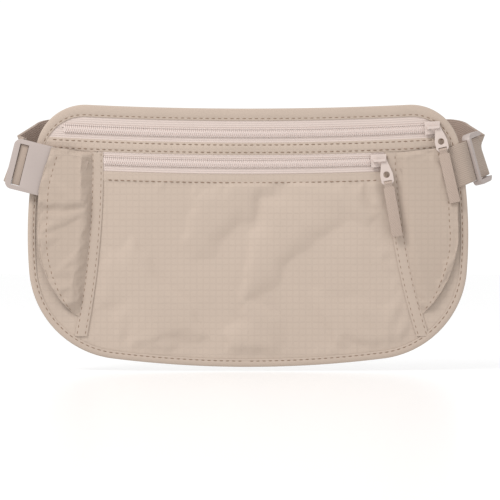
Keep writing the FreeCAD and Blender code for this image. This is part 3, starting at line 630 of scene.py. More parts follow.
# %% [markdown]
# ## Stitches
# A lockstitch shows as a short raised thread that dives into the cloth at each end. One small
# spindle is copied along each seam, leaning a little so that no two look stamped.

# %% Stitches
# Stitch thread is coloured darker than the real thread, as painted shade of the holes it dives into.
STITCH_PITCH, STITCH_LENGTH, STITCH_WIDE, STITCH_HIGH = 4.0, 2.7, 0.62, 0.42
SPINDLE_SIDES = 6
SPINDLE = ((-0.5, 0.3), (-0.3, 0.85), (0.0, 1.0), (0.3, 0.85), (0.5, 0.3))


def spindle_faces(start, rings):
    """Faces of a closed spindle whose rings of points begin at start."""
    last = start + (rings - 1) * SPINDLE_SIDES
    return grid_faces(rings, SPINDLE_SIDES, start, tube=True) + [
        tuple(first + k for k in range(SPINDLE_SIDES)) for first in (start, last)]


def unit(vector):
    return vector / max(np.linalg.norm(vector), 1e-9)


def stitch_row(name, path, body, sink=0.10):
    """Stitches along a path of (x, z, forward) points."""
    path = np.asarray(path, float)
    reach = running_length(path)
    stops = np.arange(STITCH_PITCH * 0.6, reach[-1] - STITCH_PITCH * 0.4, STITCH_PITCH)
    points, faces = [], []
    for number, stop in enumerate(stops):
        middle = sampled(stop, reach, path)
        along = unit(sampled(stop + 0.5, reach, path) - middle)
        lean = 0.06 * math.sin(number * 2.4)
        across = unit(np.array([-along[1], along[0], 0.0]))
        along = along + across * lean
        up = np.cross(across, along) * -1
        up = up if up[2] > 0 else -up
        faces += spindle_faces(len(points), len(SPINDLE))
        for share, girth in SPINDLE:
            dip = (1 - girth) * 0.3
            for k in range(SPINDLE_SIDES):
                turn = math.tau * k / SPINDLE_SIDES
                points.append(middle + along * share * STITCH_LENGTH
                              + across * math.cos(turn) * STITCH_WIDE / 2 * girth
                              + up * (math.sin(turn) * STITCH_HIGH / 2 * girth - sink - dip))
    print(f"{name}: {len(stops)} stitches")
    return piece(name, to_frame(np.array(points)), faces, SEWING_THREAD_WITH_HOLE_SHADE, body)


# %% [markdown]
# ## The front pocket
# The largest sheet is sewn down at both sides and along the foot, and its top is folded over as a
# hem. It is a four-sided patch between those edges. The cloth solver gives it broad soft swells,
# and small puckers are added where the binding gathers it.

# %% The front pocket
PANEL_COLUMNS, PANEL_ROWS = 150, 84
PANEL_SEWN, PANEL_LOWEST, PANEL_HIGHEST = 0.45, 0.25, 2.9
HEM_DEPTH, HEM_STITCHED, HEM_STANDS = 7.4, 5.6, 0.95


def upright_edge(x_at, low, high):
    """A patch edge that climbs between two heights. x_at gives its x at a height."""
    def edge(share):
        z = low + (high - low) * share
        return np.stack([x_at(z), z], -1)
    return edge


def level_edge(z_at, left, right):
    """A patch edge that crosses between two x values. z_at gives its height at an x."""
    def edge(share):
        x = left + (right - left) * share
        return np.stack([x, z_at(x)], -1)
    return edge


def seam_edge(side, high):
    return upright_edge(lambda z: seam_x(side, z), seam_foot(side), high)


def fold_edge(radius, left, right):
    return level_edge(lambda x: arc_z(radius, x), left, right)


def puckers(grid, share, reach, pitch, depth, seed):
    """Ripples that stand square to an edge and fade with distance from it, 0 to 1 by share."""
    fade = np.clip(1 - share / reach, 0, 1) ** 1.5
    drift = soft_noise(grid, 18.0, seed)
    return depth * fade * np.sin(grid[..., 0] / pitch * math.tau + drift * 3.0)


west, east = (seam_edge(side, float(arc_z(POCKET_FOLD, seam_x(side, 130.0)))) for side in SEAMS)
ends = [edge(np.array([0.0, 1.0])) for edge in (west, east)]
foot = level_edge(lambda x: outline_z(x, UNDER_BINDING), ends[0][0, 0], ends[1][0, 0])
flat_panel = patch(foot, east, fold_edge(POCKET_FOLD, ends[0][1, 0], ends[1][1, 0]), west,
                   PANEL_COLUMNS, PANEL_ROWS)
panel = layered(flat_panel, FABRIC)
panel[1:-1, 1:-1, 2] += 0.25 * soft_noise(panel, 40.0, 3.0)[1:-1, 1:-1]
panel = buckled(panel, 0.018, 1.9)
above_foot = panel[..., 1] - outline_z(panel[..., 0], 5.0)
beside = np.minimum(panel[..., 0] - seam_x("left", panel[..., 1]),
                    seam_x("right", panel[..., 1]) - panel[..., 0])
free = smooth_step((beside - 4.0) / 9.0) * smooth_step((above_foot - 1.5) / 9.0)
panel[..., 2] = PANEL_SEWN + (panel[..., 2] - PANEL_SEWN) * free
panel[..., 2] += puckers(panel, above_foot, 26.0, 11.0, 0.28, 5.0) * smooth_step((above_foot - 1.0) / 3.0)
panel[..., 2] += (0.22 * np.clip(1 - beside / 16, 0, 1) ** 1.5 * smooth_step((beside - 3.8) / 3.0)
                  * np.sin(panel[..., 1] / 9.0 * math.tau + 2.5 * soft_noise(panel, 20.0, 8.0)))
below_fold = np.hypot(panel[..., 0], ARC_HEIGHT - panel[..., 1]) - POCKET_FOLD
hem = smooth_step((HEM_DEPTH - below_fold) / 1.2)
panel[..., 2] = panel[..., 2] * (1 - hem) + HEM_STANDS * hem
panel[..., 2] -= 0.35 * np.exp(-((below_fold - 6.2) / 0.9) ** 2)
panel[..., 2] = np.clip(panel[..., 2], PANEL_LOWEST, PANEL_HIGHEST)
panel[beside < 4.2, 2] = np.minimum(panel[beside < 4.2, 2], 0.8)
cloth("front_pocket", panel, POUCH_CLOTH, "pouch", ["pocket_panel"], "pouch_fabric",
      held="stretched")
print("front pocket stands", round(float(panel[..., 2].max()), 2), "mm forward")
xs = np.linspace(ends[0][1, 0] + 6, ends[1][1, 0] - 6, 160)
stitch_row("pocket_hem_stitches", arc_line(POCKET_FOLD + HEM_STITCHED, xs, HEM_STANDS + 0.03), "pouch")

# %% [markdown]
# ## Side panels and the cloth beneath
# Outside each seam the base cloth goes on to the binding, mostly hidden by a stash pocket. The same
# patch serves, closed to a point at its foot.

# %% Side panels
def side_panel(side):
    high = float(arc_z(TAPE_JOINT, 118.0))
    seam = seam_edge(side, high)
    rim = upright_edge(lambda z: SIGN[side] * outline_x(z, UNDER_BINDING), seam_foot(side), high)
    west, east = (rim, seam) if side == "left" else (seam, rim)
    (low_west, top_west), (low_east, top_east) = (edge(np.array([0.0, 1.0])) for edge in (west, east))
    top = fold_edge(TAPE_JOINT, top_west[0], top_east[0])
    flat = patch(straight(low_west, low_east), east, top, west, 26, 70)
    grid = layered(flat, FABRIC)
    grid[1:-1, 1:-1, 2] += 0.12 * soft_noise(grid, 16.0, 11.0 + SIGN[side])[1:-1, 1:-1]
    cloth(side + "_side_cloth", grid, POUCH_CLOTH, "pouch", [side + "_side_panel"], "pouch_fabric",
          held="stretched")


for side in SEAMS:
    side_panel(side)

# %% [markdown]
# ## Zip tapes and the band between the zips
# Zip tape is a strip with fine ribs that follow the zip. The upper tape disappears under the
# binding, so each of its rows ends on the outline. The band between the zips is a folded strip of
# the pouch cloth, crowned a little by its fold.

# %% Zip tapes and the band
TAPE_ROWS, BAND_ROWS = 8, 15
BAND_WIDTH_SHARE = 0.972


def arc_rows(upper, lower, half_widths, columns, rows):
    """A grid between two zip arcs whose rows end at the given left and right limits."""
    grid = np.zeros((rows, columns, 2))
    for r, share in enumerate(np.linspace(0, 1, rows)):
        radius = lower + (upper - lower) * share
        left, right = half_widths(radius)
        x = np.linspace(left, right, columns)
        grid[r, :, 0], grid[r, :, 1] = x, arc_z(radius, x)
    return grid


def to_binding(radius):
    """Limits of an arc just under the binding."""
    x = 120.0
    for _ in range(6):
        x = float(outline_x(arc_z(radius, x), UNDER_BINDING))
    return -x, x


def tape(name, node, upper, lower, limits):
    """A zip tape. Left of the closed end of a zip its edge goes on to meet the other tape."""
    grid = layered(arc_rows(upper, lower, limits, 160, TAPE_ROWS), FABRIC)
    joined = smooth_step((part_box("top_zip_chain")[0][0] / MM + 0.6 - grid[..., 0]) / 0.8)
    share = np.linspace(0, 1, TAPE_ROWS)[:, None]
    if abs(lower - TOP_ZIP) < 3:
        grid[..., 1] -= (SLOT_HALF - JOINT_GAP) * joined * (1 - share)
    if abs(upper - TOP_ZIP) < 3:
        grid[..., 1] += (SLOT_HALF - JOINT_GAP) * joined * share
    cloth(name, grid, ZIP_TAPE, "pouch", [node], "zip_tape")


FRONT_ZIP_ENDS = (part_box("front_zip_tape_upper")[0][0] / MM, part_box("front_zip_tape_upper")[1][0] / MM)
tape("top_zip_upper_tape", "top_zip_tape_upper", TOP_ZIP - 11.5, TOP_ZIP - SLOT_HALF, to_binding)
tape("top_zip_lower_tape", "top_zip_tape_lower", TOP_ZIP + SLOT_HALF, TAPE_JOINT - JOINT_GAP,
     to_binding)
for tape_name, node, upper, lower in (
    ("front_zip_upper_tape", "front_zip_tape_upper", TAPE_JOINT + JOINT_GAP, FRONT_ZIP - SLOT_HALF),
    ("front_zip_lower_tape", "front_zip_tape_lower", FRONT_ZIP + SLOT_HALF, POCKET_FOLD - JOINT_GAP),
):
    tape(tape_name, node, upper, lower, lambda radius: FRONT_ZIP_ENDS)


flat_band = arc_rows(BAND_TOP, BAND_LOW, lambda r: tuple(BAND_WIDTH_SHARE * x for x in to_binding(r)),
                     200, BAND_ROWS)
across = np.linspace(-1, 1, BAND_ROWS)[:, None]
crown = 0.5 * (1 - across ** 4) - 0.22 * np.exp(-((np.abs(across) - 0.62) / 0.16) ** 2)
band = layered(flat_band, 0.75 + crown)
band[..., 2] += 0.06 * np.sin(band[..., 0] / 4.0 * math.tau) * (np.abs(across) > 0.3)
cloth("middle_band_cloth", band, POUCH_CLOTH, "pouch", ["middle_band"], "pouch_fabric", 0.5,
      held="folded")
xs = np.linspace(-128, 128, 220)
for row_name, radius in (("band_upper_stitches", BAND_TOP + 1.5), ("band_lower_stitches", BAND_LOW - 1.5)):
    stitch_row(row_name, arc_line(radius, xs, 1.22), "pouch")

# %% [markdown]
# ## Zip coils
# A nylon coil is a row of small loops sewn to each tape's edge. Closed, the two rows mesh and look
# like one plait. Open, each row stays with its tape. So the loops on the tapes are fixed, and the
# meshed plait is a piece of its own.

# %% Zip coils
TOOTH_PITCH, STRIP_COLUMNS = 1.3, 120
LOOP_SIZE, PLAIT_SIZE = (0.52, 0.55, 0.55), (0.46, 1.3, 0.5)
BEAD = ((-1.0, 0.55), (-0.6, 1.0), (0.6, 1.0), (1.0, 0.55))


def bead(points, faces, x, radius, height, half_sizes):
    """A small rounded block that lies across a zip arc."""
    half_x, half_r, half_f = half_sizes
    slope = x / radius
    along, across = np.array([1.0, slope, 0.0]), np.array([-slope, 1.0, 0.0])
    middle = np.array([x, float(arc_z(radius, x)), height])
    faces += spindle_faces(len(points), len(BEAD))
    for share, girth in BEAD:
        for k in range(SPINDLE_SIDES):
            turn = math.tau * k / SPINDLE_SIDES
            points.append(middle + across * half_r * share + along * math.cos(turn) * half_x * girth
                          + np.array([0, 0, math.sin(turn) * half_f * girth]))


def coil_row(name, node, chain, side, left, right):
    points, faces = [], []
    for x in np.arange(left, right, TOOTH_PITCH):
        bead(points, faces, x, chain + side * (SLOT_HALF + COIL_ROW * 0.5), 1.15, LOOP_SIZE)
    piece(name, to_frame(np.array(points)), faces, COIL_NYLON, "pouch", [node], "zip_coil")


def closed_chain(name, node, chain, left, right):
    """The plait, with the loops' sewn-down roots as a strip beneath it."""
    points, faces = [], []
    for number, x in enumerate(np.arange(left, right, TOOTH_PITCH / 2)):
        side = 1 if number % 2 else -1
        bead(points, faces, x, chain + side * 0.6, 1.0, PLAIT_SIZE)
    xs = np.linspace(left - 0.9, right, STRIP_COLUMNS)
    start = len(points)
    for outward, height in ((-1.9, 0.3), (-1.9, 0.95), (1.9, 0.95), (1.9, 0.3)):
        points += list(arc_line(chain + outward, xs, height))
    faces += grid_faces(4, STRIP_COLUMNS, start, ring=True)
    faces += [tuple(start + k * STRIP_COLUMNS + end for k in range(4)) for end in (0, STRIP_COLUMNS - 1)]
    return piece(name, to_frame(np.array(points)), faces, COIL_NYLON, "pouch", [node], "zip_coil")


CHAINS = {"top": (TOP_ZIP, "top_zip_slide"), "front": (FRONT_ZIP, "front_zip_slide")}
for zip_name, (chain, joint) in CHAINS.items():
    row_low, row_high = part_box(zip_name + "_zip_coil_upper")
    for side_name, side in (("upper", -1), ("lower", 1)):
        coil_row(f"{zip_name}_coil_{side_name}_loops", f"{zip_name}_zip_coil_{side_name}", chain, side,
                 row_low[0] / MM + 0.6, row_high[0] / MM - 0.4)
    chain_low, chain_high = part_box(zip_name + "_zip_chain")
    plait = closed_chain(zip_name + "_chain_plait", zip_name + "_zip_chain", chain,
                         chain_low[0] / MM + 0.5, chain_high[0] / MM - 0.4)
    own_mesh(plait)
print("zip teeth at", TOOTH_PITCH, "mm")

# %% [markdown]
# ## The binding
# A ribbed tape is folded over the raw edge all round. It is one profile, a round-backed U, swept
# along the outline. Its front leg is deeper along the top, where it also faces the zip.

# %% The binding
SIDE_LEG, BINDING_FRONT, BINDING_BACK = 5.2, 1.25, -1.8


def front_leg_depths():
    """How deep the front leg is at each point of the outline."""
    depths = []
    for (x, z) in OUTLINE:
        if z < TOP_CORNER[1]:
            depths.append(SIDE_LEG)
        elif abs(x) > TOP_CORNER[0]:
            turn = math.atan2(z - TOP_CORNER[1], abs(x) - TOP_CORNER[0])
            depths.append(6.0 - 0.8 * math.cos(turn) + 2.0 * math.sin(turn))
        else:
            depths.append(8.0)
    depths = np.array(depths)
    for _ in range(8):
        depths = (np.roll(depths, 1) + depths + np.roll(depths, -1)) / 3
    return depths


LEG_DEPTHS = front_leg_depths()


def sweep_binding():
    """The profile as (inset, forward), from the front leg's inner edge round the fold to the back."""
    reach = running_length(OUTLINE)
    pucker = 0.05 * np.sin(reach / STITCH_PITCH * math.tau)
    rows, maps = [], []
    for base, normal, leg, p, along in zip(OUTLINE, INWARD, LEG_DEPTHS, pucker, reach):
        front, back = BINDING_FRONT + p, BINDING_BACK
        mid, half = (BINDING_FRONT + BINDING_BACK) / 2, (front - back) / 2
        profile = [(leg - 0.1, 0.66), (leg, 0.9), (leg - 0.25, front - 0.15), (leg - 0.8, front - 0.04),
                   (leg - 1.3, front - 0.22), (leg - 1.8, front - 0.02), (leg * 0.5, front + 0.08)]
        profile += [(1.3 - 1.3 * math.sin(a), mid + half * math.cos(a))
                    for a in np.linspace(0.25, math.pi - 0.25, 9)]
        profile += [(SIDE_LEG * 0.5, back - 0.03), (SIDE_LEG - 0.4, back + 0.05), (SIDE_LEG, back + 0.3),
                    (SIDE_LEG - 0.1, -1.22), (1.15, -1.22), (1.0, 0.0), (1.15, 0.62)]
        rows.append([(base[0] + normal[0] * a, base[1] + normal[1] * a, f) for a, f in profile])
        maps.append([(along, across) for across in running_length(profile)])
    faces = grid_faces(len(rows), len(rows[0]), ring=True, tube=True)
    piece("edge_tape", to_frame(np.array(rows).reshape(-1, 3)), faces, BINDING_TAPE, "pouch",
          ["edge_binding"], "binding_tape", uv=np.array(maps).reshape(-1, 2) * MM)


def closed_line(inset, height):
    """The outline moved inward at one layer, back to where it starts."""
    line = OUTLINE + INWARD * np.broadcast_to(inset, len(OUTLINE))[:, None]
    line = np.concatenate([line, line[:1]])
    return np.column_stack([line, np.full(len(line), height)])


sweep_binding()
stitch_row("binding_stitches", closed_line(LEG_DEPTHS - 1.35, BINDING_FRONT), "pouch")
stitch_row("binding_back_stitches", closed_line(SIDE_LEG - 1.2, BINDING_BACK), "pouch", sink=-0.1)

# %% [markdown]
# ## Seam tapes
# The side seams are covered by a narrow folded tape, stitched down near both edges.

# %% Seam tapes
SEAM_TAPE_LOW, SEAM_TAPE_HIGH, SEAM_STITCHED = 20.0, 139.5, 2.6


def seam_strip(side):
    across = np.linspace(-SEAM_TAPE_HALF, SEAM_TAPE_HALF, 13)
    heights = np.linspace(SEAM_TAPE_LOW, SEAM_TAPE_HIGH, 90)
    grid = np.zeros((len(heights), len(across), 3))
    for c, out in enumerate(across):
        grid[:, c, 0], grid[:, c, 1] = seam_x(side, heights, out), heights
    grid = grid[:, np.argsort(grid[0, :, 0])]
    share = np.abs(np.linspace(-1, 1, len(across)))[None]
    wave = 0.05 * np.sin(heights / STITCH_PITCH * math.tau)[:, None]
    grid[..., 2] = (1.1 + 0.35 * (1 - share ** 6) - 0.2 * np.exp(-((share - 0.66) / 0.12) ** 2)
                    + wave * (share > 0.4))
    cloth(side + "_seam_cover", grid, BINDING_TAPE, "pouch", [side + "_seam_tape"], "binding_tape", 0.5)
    for label, out in (("outer", SEAM_STITCHED), ("inner", -SEAM_STITCHED)):
        line = np.stack([seam_x(side, heights, out), heights, heights * 0 + 1.3], -1)
        stitch_row(f"{side}_seam_{label}_stitches", line, "pouch")


for side in SEAMS:
    seam_strip(side)

# %% [markdown]
# ## Stash pockets
# Each side pocket is one loose sheet, sewn along the seam, the band and its foot, and open on its
# outer edge, which is hemmed. It rises over the buckle or the strap that is kept in it.

# %% Stash pockets
WING_TOP, WING_SEWN, WING_ROWS, WING_COLUMNS = 142.6, 1.45, 90, 40
WING_HEM, WING_HEM_STITCHED, SEAM_COVERED = 6.0, 5.0, SEAM_TAPE_HALF - 0.6


def free_edge(side, count):
    """The pocket's outer edge from its foot up, two arcs, evenly spaced."""
    points = []
    for (cx, cz), radius, start, end in (((63.6, 87.5), 72.8, (113.5, 34.5), (136.0, 95.0)),
                                         ((-44.2, 98.7), 180.2, (136.0, 95.0), (131.0, WING_TOP))):
        a, b = (math.atan2(p[1] - cz, p[0] - cx) for p in (start, end))
        points += [(cx + radius * math.cos(t), cz + radius * math.sin(t)) for t in np.linspace(a, b, 40)]
    points = np.array(points)
    points[:, 0] -= 3.4 * smooth_step((points[:, 1] - 112) / 30)
    reach = running_length(points)
    return sampled(np.linspace(0, reach[-1], count), reach, points) * (SIGN[side], 1)


def wing(side, low_z, under, seed):
    """A stash pocket from a height up. under is the room needed for what is kept in it."""
    outer = free_edge(side, WING_ROWS)
    heights = np.linspace(low_z, 139.2, WING_ROWS)
    inner = np.stack([seam_x(side, heights, SEAM_COVERED), heights], -1)
    steps = np.linspace(0, 1, WING_ROWS)
    west, east = (outer, inner) if side == "left" else (inner, outer)
    flat = patch(straight(west[0], east[0]), lambda share: sampled(share, steps, east),
                 straight(west[-1], east[-1]), lambda share: sampled(share, steps, west),
                 WING_COLUMNS, WING_ROWS)
    grid = layered(flat, 0.0)
    to_seam = np.abs(grid[..., 0] - seam_x(side, grid[..., 1], SEAM_COVERED))
    share_up = steps[:, None] * np.ones((1, WING_COLUMNS))
    share_out = np.linspace(0, 1, WING_COLUMNS)[None, ::SIGN[side]]
    tucked = smooth_step((1 - share_up) / 0.035)
    tucked = tucked + (1 - tucked) * smooth_step((share_out - 0.35) / 0.25)
    rise = smooth_step(to_seam / 7.0) * smooth_step(share_up / 0.10) * tucked
    grid[..., 2] = WING_SEWN + (under - WING_SEWN) * np.sqrt(np.clip(rise, 0, 1))
    lower_fold = smooth_step((0.55 - share_up) / 0.3) * share_out
    grid[..., 2] -= (under - 2.2) * 0.45 * lower_fold
    if side == "left":
        below_buckle = smooth_step((107.5 - grid[..., 1]) / 6.0) * smooth_step((grid[..., 1] - 60) / 35.0)
        grid[..., 2] -= 2.1 * below_buckle * smooth_step(share_out / 0.3) * rise
    resting = grid.copy()
    grid[1:-1, 1:-1, 2] += 0.35 * soft_noise(grid, 14.0, seed)[1:-1, 1:-1]
    grid = buckled(grid, 0.02, 1.3, stiffness=1.5)
    grid[..., 2] += 0.3 * rise * soft_noise(grid, 9.0, seed + 4) * (share_up < 0.95)
    inner_x, outer_x = grid[:, :1, 0], grid[:, -1:, 0]
    from_edge = np.abs(grid[..., 0] - (outer_x if side == "right" else inner_x))
    hem_lift = smooth_step((WING_HEM - from_edge) / 0.9)
    grid[..., 2] += 0.25 * hem_lift - 0.3 * np.exp(-((from_edge - WING_HEM + 0.9) / 0.8) ** 2)
    grid[..., 2] = np.maximum(grid[..., 2], np.minimum(resting[..., 2], under) - 0.25)
    grid[..., 2] = np.clip(grid[..., 2], 1.2, under + 1.1)
    cloth(side + "_stash_pocket", grid, WING_CLOTH, "pouch", [side + "_wing"], "wing_fabric", 0.5,
          held="gathered")
    column = int(WING_HEM_STITCHED / (np.abs(outer_x - inner_x).mean() / WING_COLUMNS))
    column = WING_COLUMNS - 1 - column if side == "right" else column
    stitch_row(side + "_stash_hem_stitches", grid[2:-2, column] + (0, 0, 0.05), "pouch")
    print(side, "stash pocket stands", round(float(grid[..., 2].max()), 2), "mm forward")


wing("left", 33.0, 7.25, 21.0)
wing("right", 40.0, 4.1, 31.0)

# %% [markdown]
# ## Back and lining
# The back sheet and the lining between the two compartments are dished: flat in the middle and
# sloping forward to the sewn rim. Each is a ring grid that shrinks from the outline to a point.

# %% Back and lining
RINGS, RIM_INSET, ROUND_UNTIL, DEEPEST_INSET = 46, 1.2, 26.0, 55.0
POUCH_CENTRE, CENTRE_MERGE = np.array([0.0, 86.0]), 0.00005


def dished(name, node, rim_layer, depth, slope_start, slope_width, material, top_cut=0.0, wrinkle=0.3):
    """A sheet that dips behind its rim, with its top held below a height where top_cut is given."""
    count = len(OUTLINE)
    grid = np.zeros((RINGS, count, 3))
    shares = np.linspace(0, 1, RINGS)
    for r, share in enumerate(shares):
        inset = RIM_INSET + (DEEPEST_INSET - RIM_INSET) * share if share < 1 else DEEPEST_INSET
        ring = OUTLINE + INWARD * min(inset, ROUND_UNTIL)
        if inset > ROUND_UNTIL:
            ring = ring + (POUCH_CENTRE - ring) * ((inset - ROUND_UNTIL) / (DEEPEST_INSET - ROUND_UNTIL))
        if top_cut:
            ring[:, 1] = np.minimum(ring[:, 1], top_cut)
        dip = smooth_step((inset - slope_start) / slope_width)
        grid[r, :, :2], grid[r, :, 2] = ring, rim_layer - depth * dip
    inside = smooth_step((shares[:, None] - 0.08) / 0.2)
    flat_back = 1 - smooth_step((shares[:, None] - 0.35) / 0.2)
    grid[..., 2] += soft_noise(grid, 26.0, 41.0) * wrinkle * inside * flat_back
    back = grid.copy()
    back[..., 2] -= FABRIC
    total = RINGS * count
    faces = grid_faces(RINGS, count, flip=True, tube=True) + grid_faces(RINGS, count, total, tube=True)
    faces += [(c, (c + 1) % count, total + (c + 1) % count, total + c) for c in range(count)]
    points = np.concatenate([grid.reshape(-1, 3), back.reshape(-1, 3)])
    made = piece(name, to_frame(points), faces, material, "pouch", [node], "pouch_fabric",
                 uv=points[:, :2] * MM)
    rework(made.data, lambda bm: bmesh.ops.remove_doubles(bm, verts=bm.verts, dist=CENTRE_MERGE))
    declare_sheet(np.concatenate([grid, grid[:, :1]], 1))


dished("back_cloth", "back_panel", -0.62, 9.15, 5.0, 17.0, POUCH_CLOTH)
dished("pocket_lining_cloth", "pocket_lining", 0.0, 4.6, 7.2, 8.0, LINING_CLOTH, top_cut=147.0, wrinkle=0.1)

# %% [markdown]
# ## Hard pieces
# The buckle, the adjuster, the sliders and their tabs already have their true shape in the frame.
# A copy of each is taken, its flat faces are joined up again, and its edges are rounded as a mould
# leaves them.

# %% Hard pieces
HARD_CREASE, ROUND_SEGMENTS = 50, 3


def rounded_copy(node, name, material, body, slot, radius):
    """A copy of a node with its flat faces joined and its edges rounded."""
    def soften(bm):
        bmesh.ops.remove_doubles(bm, verts=bm.verts, dist=2e-6)
        bmesh.ops.dissolve_limit(bm, angle_limit=math.radians(1.0), verts=bm.verts, edges=bm.edges)
        sharp = [e for e in bm.edges if len(e.link_faces) == 2 and e.calc_face_angle(0) > math.radians(35)]
        bmesh.ops.bevel(bm, geom=sharp, offset=radius * MM, segments=ROUND_SEGMENTS, profile=0.5,
                        affect="EDGES", clamp_overlap=True)
        bmesh.ops.recalc_face_normals(bm, faces=bm.faces)

    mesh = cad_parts[node].data.copy()
    rework(mesh, soften)
    dressed(name, mesh, material, body, [node], slot, HARD_CREASE)


HARD_PIECES = (
    ("buckle_socket", "buckle_half", "buckle_plastic", BUCKLE_PLASTIC, 0.6),
    ("buckle_plug", "pouch", "buckle_plastic", BUCKLE_PLASTIC, 0.5),
    ("upper_prong", "upper_prong", "buckle_plastic", BUCKLE_PLASTIC, 0.35),
    ("lower_prong", "lower_prong", "buckle_plastic", BUCKLE_PLASTIC, 0.35),
    ("strap_adjuster", "adjuster", "buckle_plastic", BUCKLE_PLASTIC, 0.7),
    ("top_zip_slider", "top_slider", "zip_metal", ZIP_METAL, 0.3),
    ("front_zip_slider", "front_slider", "zip_metal", ZIP_METAL, 0.3),
    ("top_zip_pull_tab", "top_pull", "zip_metal", ZIP_METAL, 0.3),
    ("front_zip_pull_tab", "front_pull", "zip_metal", ZIP_METAL, 0.3),
    ("top_zip_pull_tail", "top_tail", "pull_tape", PULL_TAPE, 0.2),
    ("front_zip_pull_tail", "front_tail", "pull_tape", PULL_TAPE, 0.2),
)
for node, body, slot, material, radius in HARD_PIECES:
    rounded_copy(node, node + "_form", material, body, slot, radius)
print("hard pieces:", len(HARD_PIECES))

# %% [markdown]
# ## Webbing
# The belt is flat webbing, so it is swept directly: a rounded rectangle carried along a path that
# turns and climbs. Two layers lie on each other, the outer one coming out of the buckle's slot.

# %% Webbing
WEB_WIDE, WEB_THICK, LAYER_PITCH, SPLICE_HALF = 26.5, 1.3, 1.6, 0.2
IN_WING, AT_ADJUSTER, SIDEWAYS = (0.0, 0.0, 23.0), (62.0, 5.0, 13.0), (92.0, 14.0, 20.0)
SLANTING, BEHIND = (136.0, 34.0, 7.0), (180.0, 0.0, 0.0)
BUCKLE_SEAT, BUCKLE_LEAN, LOOP_END = (-147.7, 0.0, 131.2), 14.0, 3.2
ADJUSTER_HALF, STATION_STEP, FACE_APART = 11.2, 6.0, 40
LOOP_START = (15.0, 0.0, BUCKLE_LEAN)


def heading(yaw, climb, lean):
    """Frame of the strap: along it, across its width, and out of its outer face."""
    yaw, climb, lean = (math.radians(angle) for angle in (yaw, climb, lean))
    upright = ((math.cos(climb) * math.cos(yaw), math.cos(climb) * math.sin(yaw), math.sin(climb)),
               (-math.sin(climb) * math.cos(yaw), -math.sin(climb) * math.sin(yaw), math.cos(climb)),
               (math.sin(yaw), -math.cos(yaw), 0.0))
    c, s = math.cos(lean), math.sin(lean)
    return tuple(np.array([x * c - z * s, y, x * s + z * c]) for x, y, z in upright)


def walk(place, turn, runs):
    """Stations along a strap from a (yaw, climb, lean). Each run is its length and its last turn."""
    place, turn = np.array(place, float), np.array(turn)
    stations = [(place, heading(*turn))]
    for length, end in runs:
        end = np.array(end)
        steps = max(1, round(abs(end[0] - turn[0]) / 5))
        for i in range(steps):
            middle, done = (turn + (end - turn) * share for share in ((i + 0.5) / steps, (i + 1) / steps))
            place = place + heading(*middle)[0] * (length / steps)
            stations.append((place, heading(*done)))
        turn = end
    return stations


def bend(radius, start, end):
    """A run of walk that turns from one heading to the next about a radius."""
    return radius * math.radians(end[0] - start[0]), end


def webbing_section():
    """Rounded rectangle, as (across, out)."""
    half, thick, bend = WEB_WIDE / 2, WEB_THICK / 2, 0.5
    section = []
    for cx, cy, start in ((half - bend, thick - bend, 0), (-half + bend, thick - bend, 90),
                          (-half + bend, -thick + bend, 180), (half - bend, -thick + bend, 270)):
        for k in range(4):
            a = math.radians(start + 30 * k)
            section.append((cx + bend * math.cos(a), cy + bend * math.sin(a)))
        if start in (0, 180):
            way = 1 if start == 0 else -1
            section += [(way * half * s, way * thick) for s in (0.6, 0.3, 0.0, -0.3, -0.6)]
    return section


SECTION = webbing_section()


def strap(name, node, stations, offset, body, material):
    """Webbing along stations given in (x, back, z) millimetres of the pouch drawing."""
    points, uv, reach = [], [], 0.0
    wide = len(SECTION)
    for k, (place, (along, across, out)) in enumerate(stations):
        if k:
            reach += float(np.linalg.norm(place - stations[k - 1][0]))
        for a, o in SECTION:
            p = place + out * (offset + o) + across * a
            points.append((p[0], p[1] + FRONT_CLOTH_Y, p[2] + LOWEST_Z))
            uv.append((reach, a + (FACE_APART if o > 0 else 0)))
    faces = grid_faces(len(stations), wide, tube=True)
    faces += [tuple(first + c for c in range(wide)) for first in (0, (len(stations) - 1) * wide)]
    print(f"{name}: {reach:.0f} mm of webbing")
    piece(name, np.array(points) * MM, faces, material, body, [node], "webbing", uv=np.array(uv) * MM)


def evened(stations):
    """Adds stations to long straight runs, so that the webbing's map and shading stay even."""
    result = [stations[0]]
    for start, end in zip(stations, stations[1:]):
        parts = max(1, int(np.linalg.norm(end[0] - start[0]) // STATION_STEP))
        for k in range(1, parts + 1):
            share = k / parts
            result.append((start[0] + (end[0] - start[0]) * share,
                           tuple(a + (b - a) * share for a, b in zip(start[1], end[1]))))
    return result


front_path = walk((103.6, -2.2, 116.6), IN_WING, [(37.2, IN_WING), bend(7.0, IN_WING, AT_ADJUSTER)])
bend_end, adjuster_frame = front_path[-1]
adjuster_middle = bend_end + adjuster_frame[0] * (ADJUSTER_HALF + 3.6)
beyond = ADJUSTER_HALF - 0.6
right_turn = walk(adjuster_middle, AT_ADJUSTER, [
    (beyond, AT_ADJUSTER), bend(5.0, AT_ADJUSTER, SIDEWAYS), bend(8.0, SIDEWAYS, SLANTING),
    (14.0, SLANTING), bend(14.0, SLANTING, BEHIND)])
back_right, back_frame = right_turn[-1]
splice = (np.array([SPLICE_HALF, back_right[1], back_right[2]]), back_frame)
outer_stations = evened(front_path + right_turn[1:] + [splice])
inner_stations = evened(right_turn[6:] + [splice])
strap("right_belt_outer", "strap_right_outer", outer_stations, 0.0, "pouch", WEBBING)
# The inner layer's darker finish is partly its real backing and partly painted shade.
strap("right_belt_inner", "strap_right_inner", inner_stations, -LAYER_PITCH, "pouch", WEBBING_INSIDE_AND_SHADE)

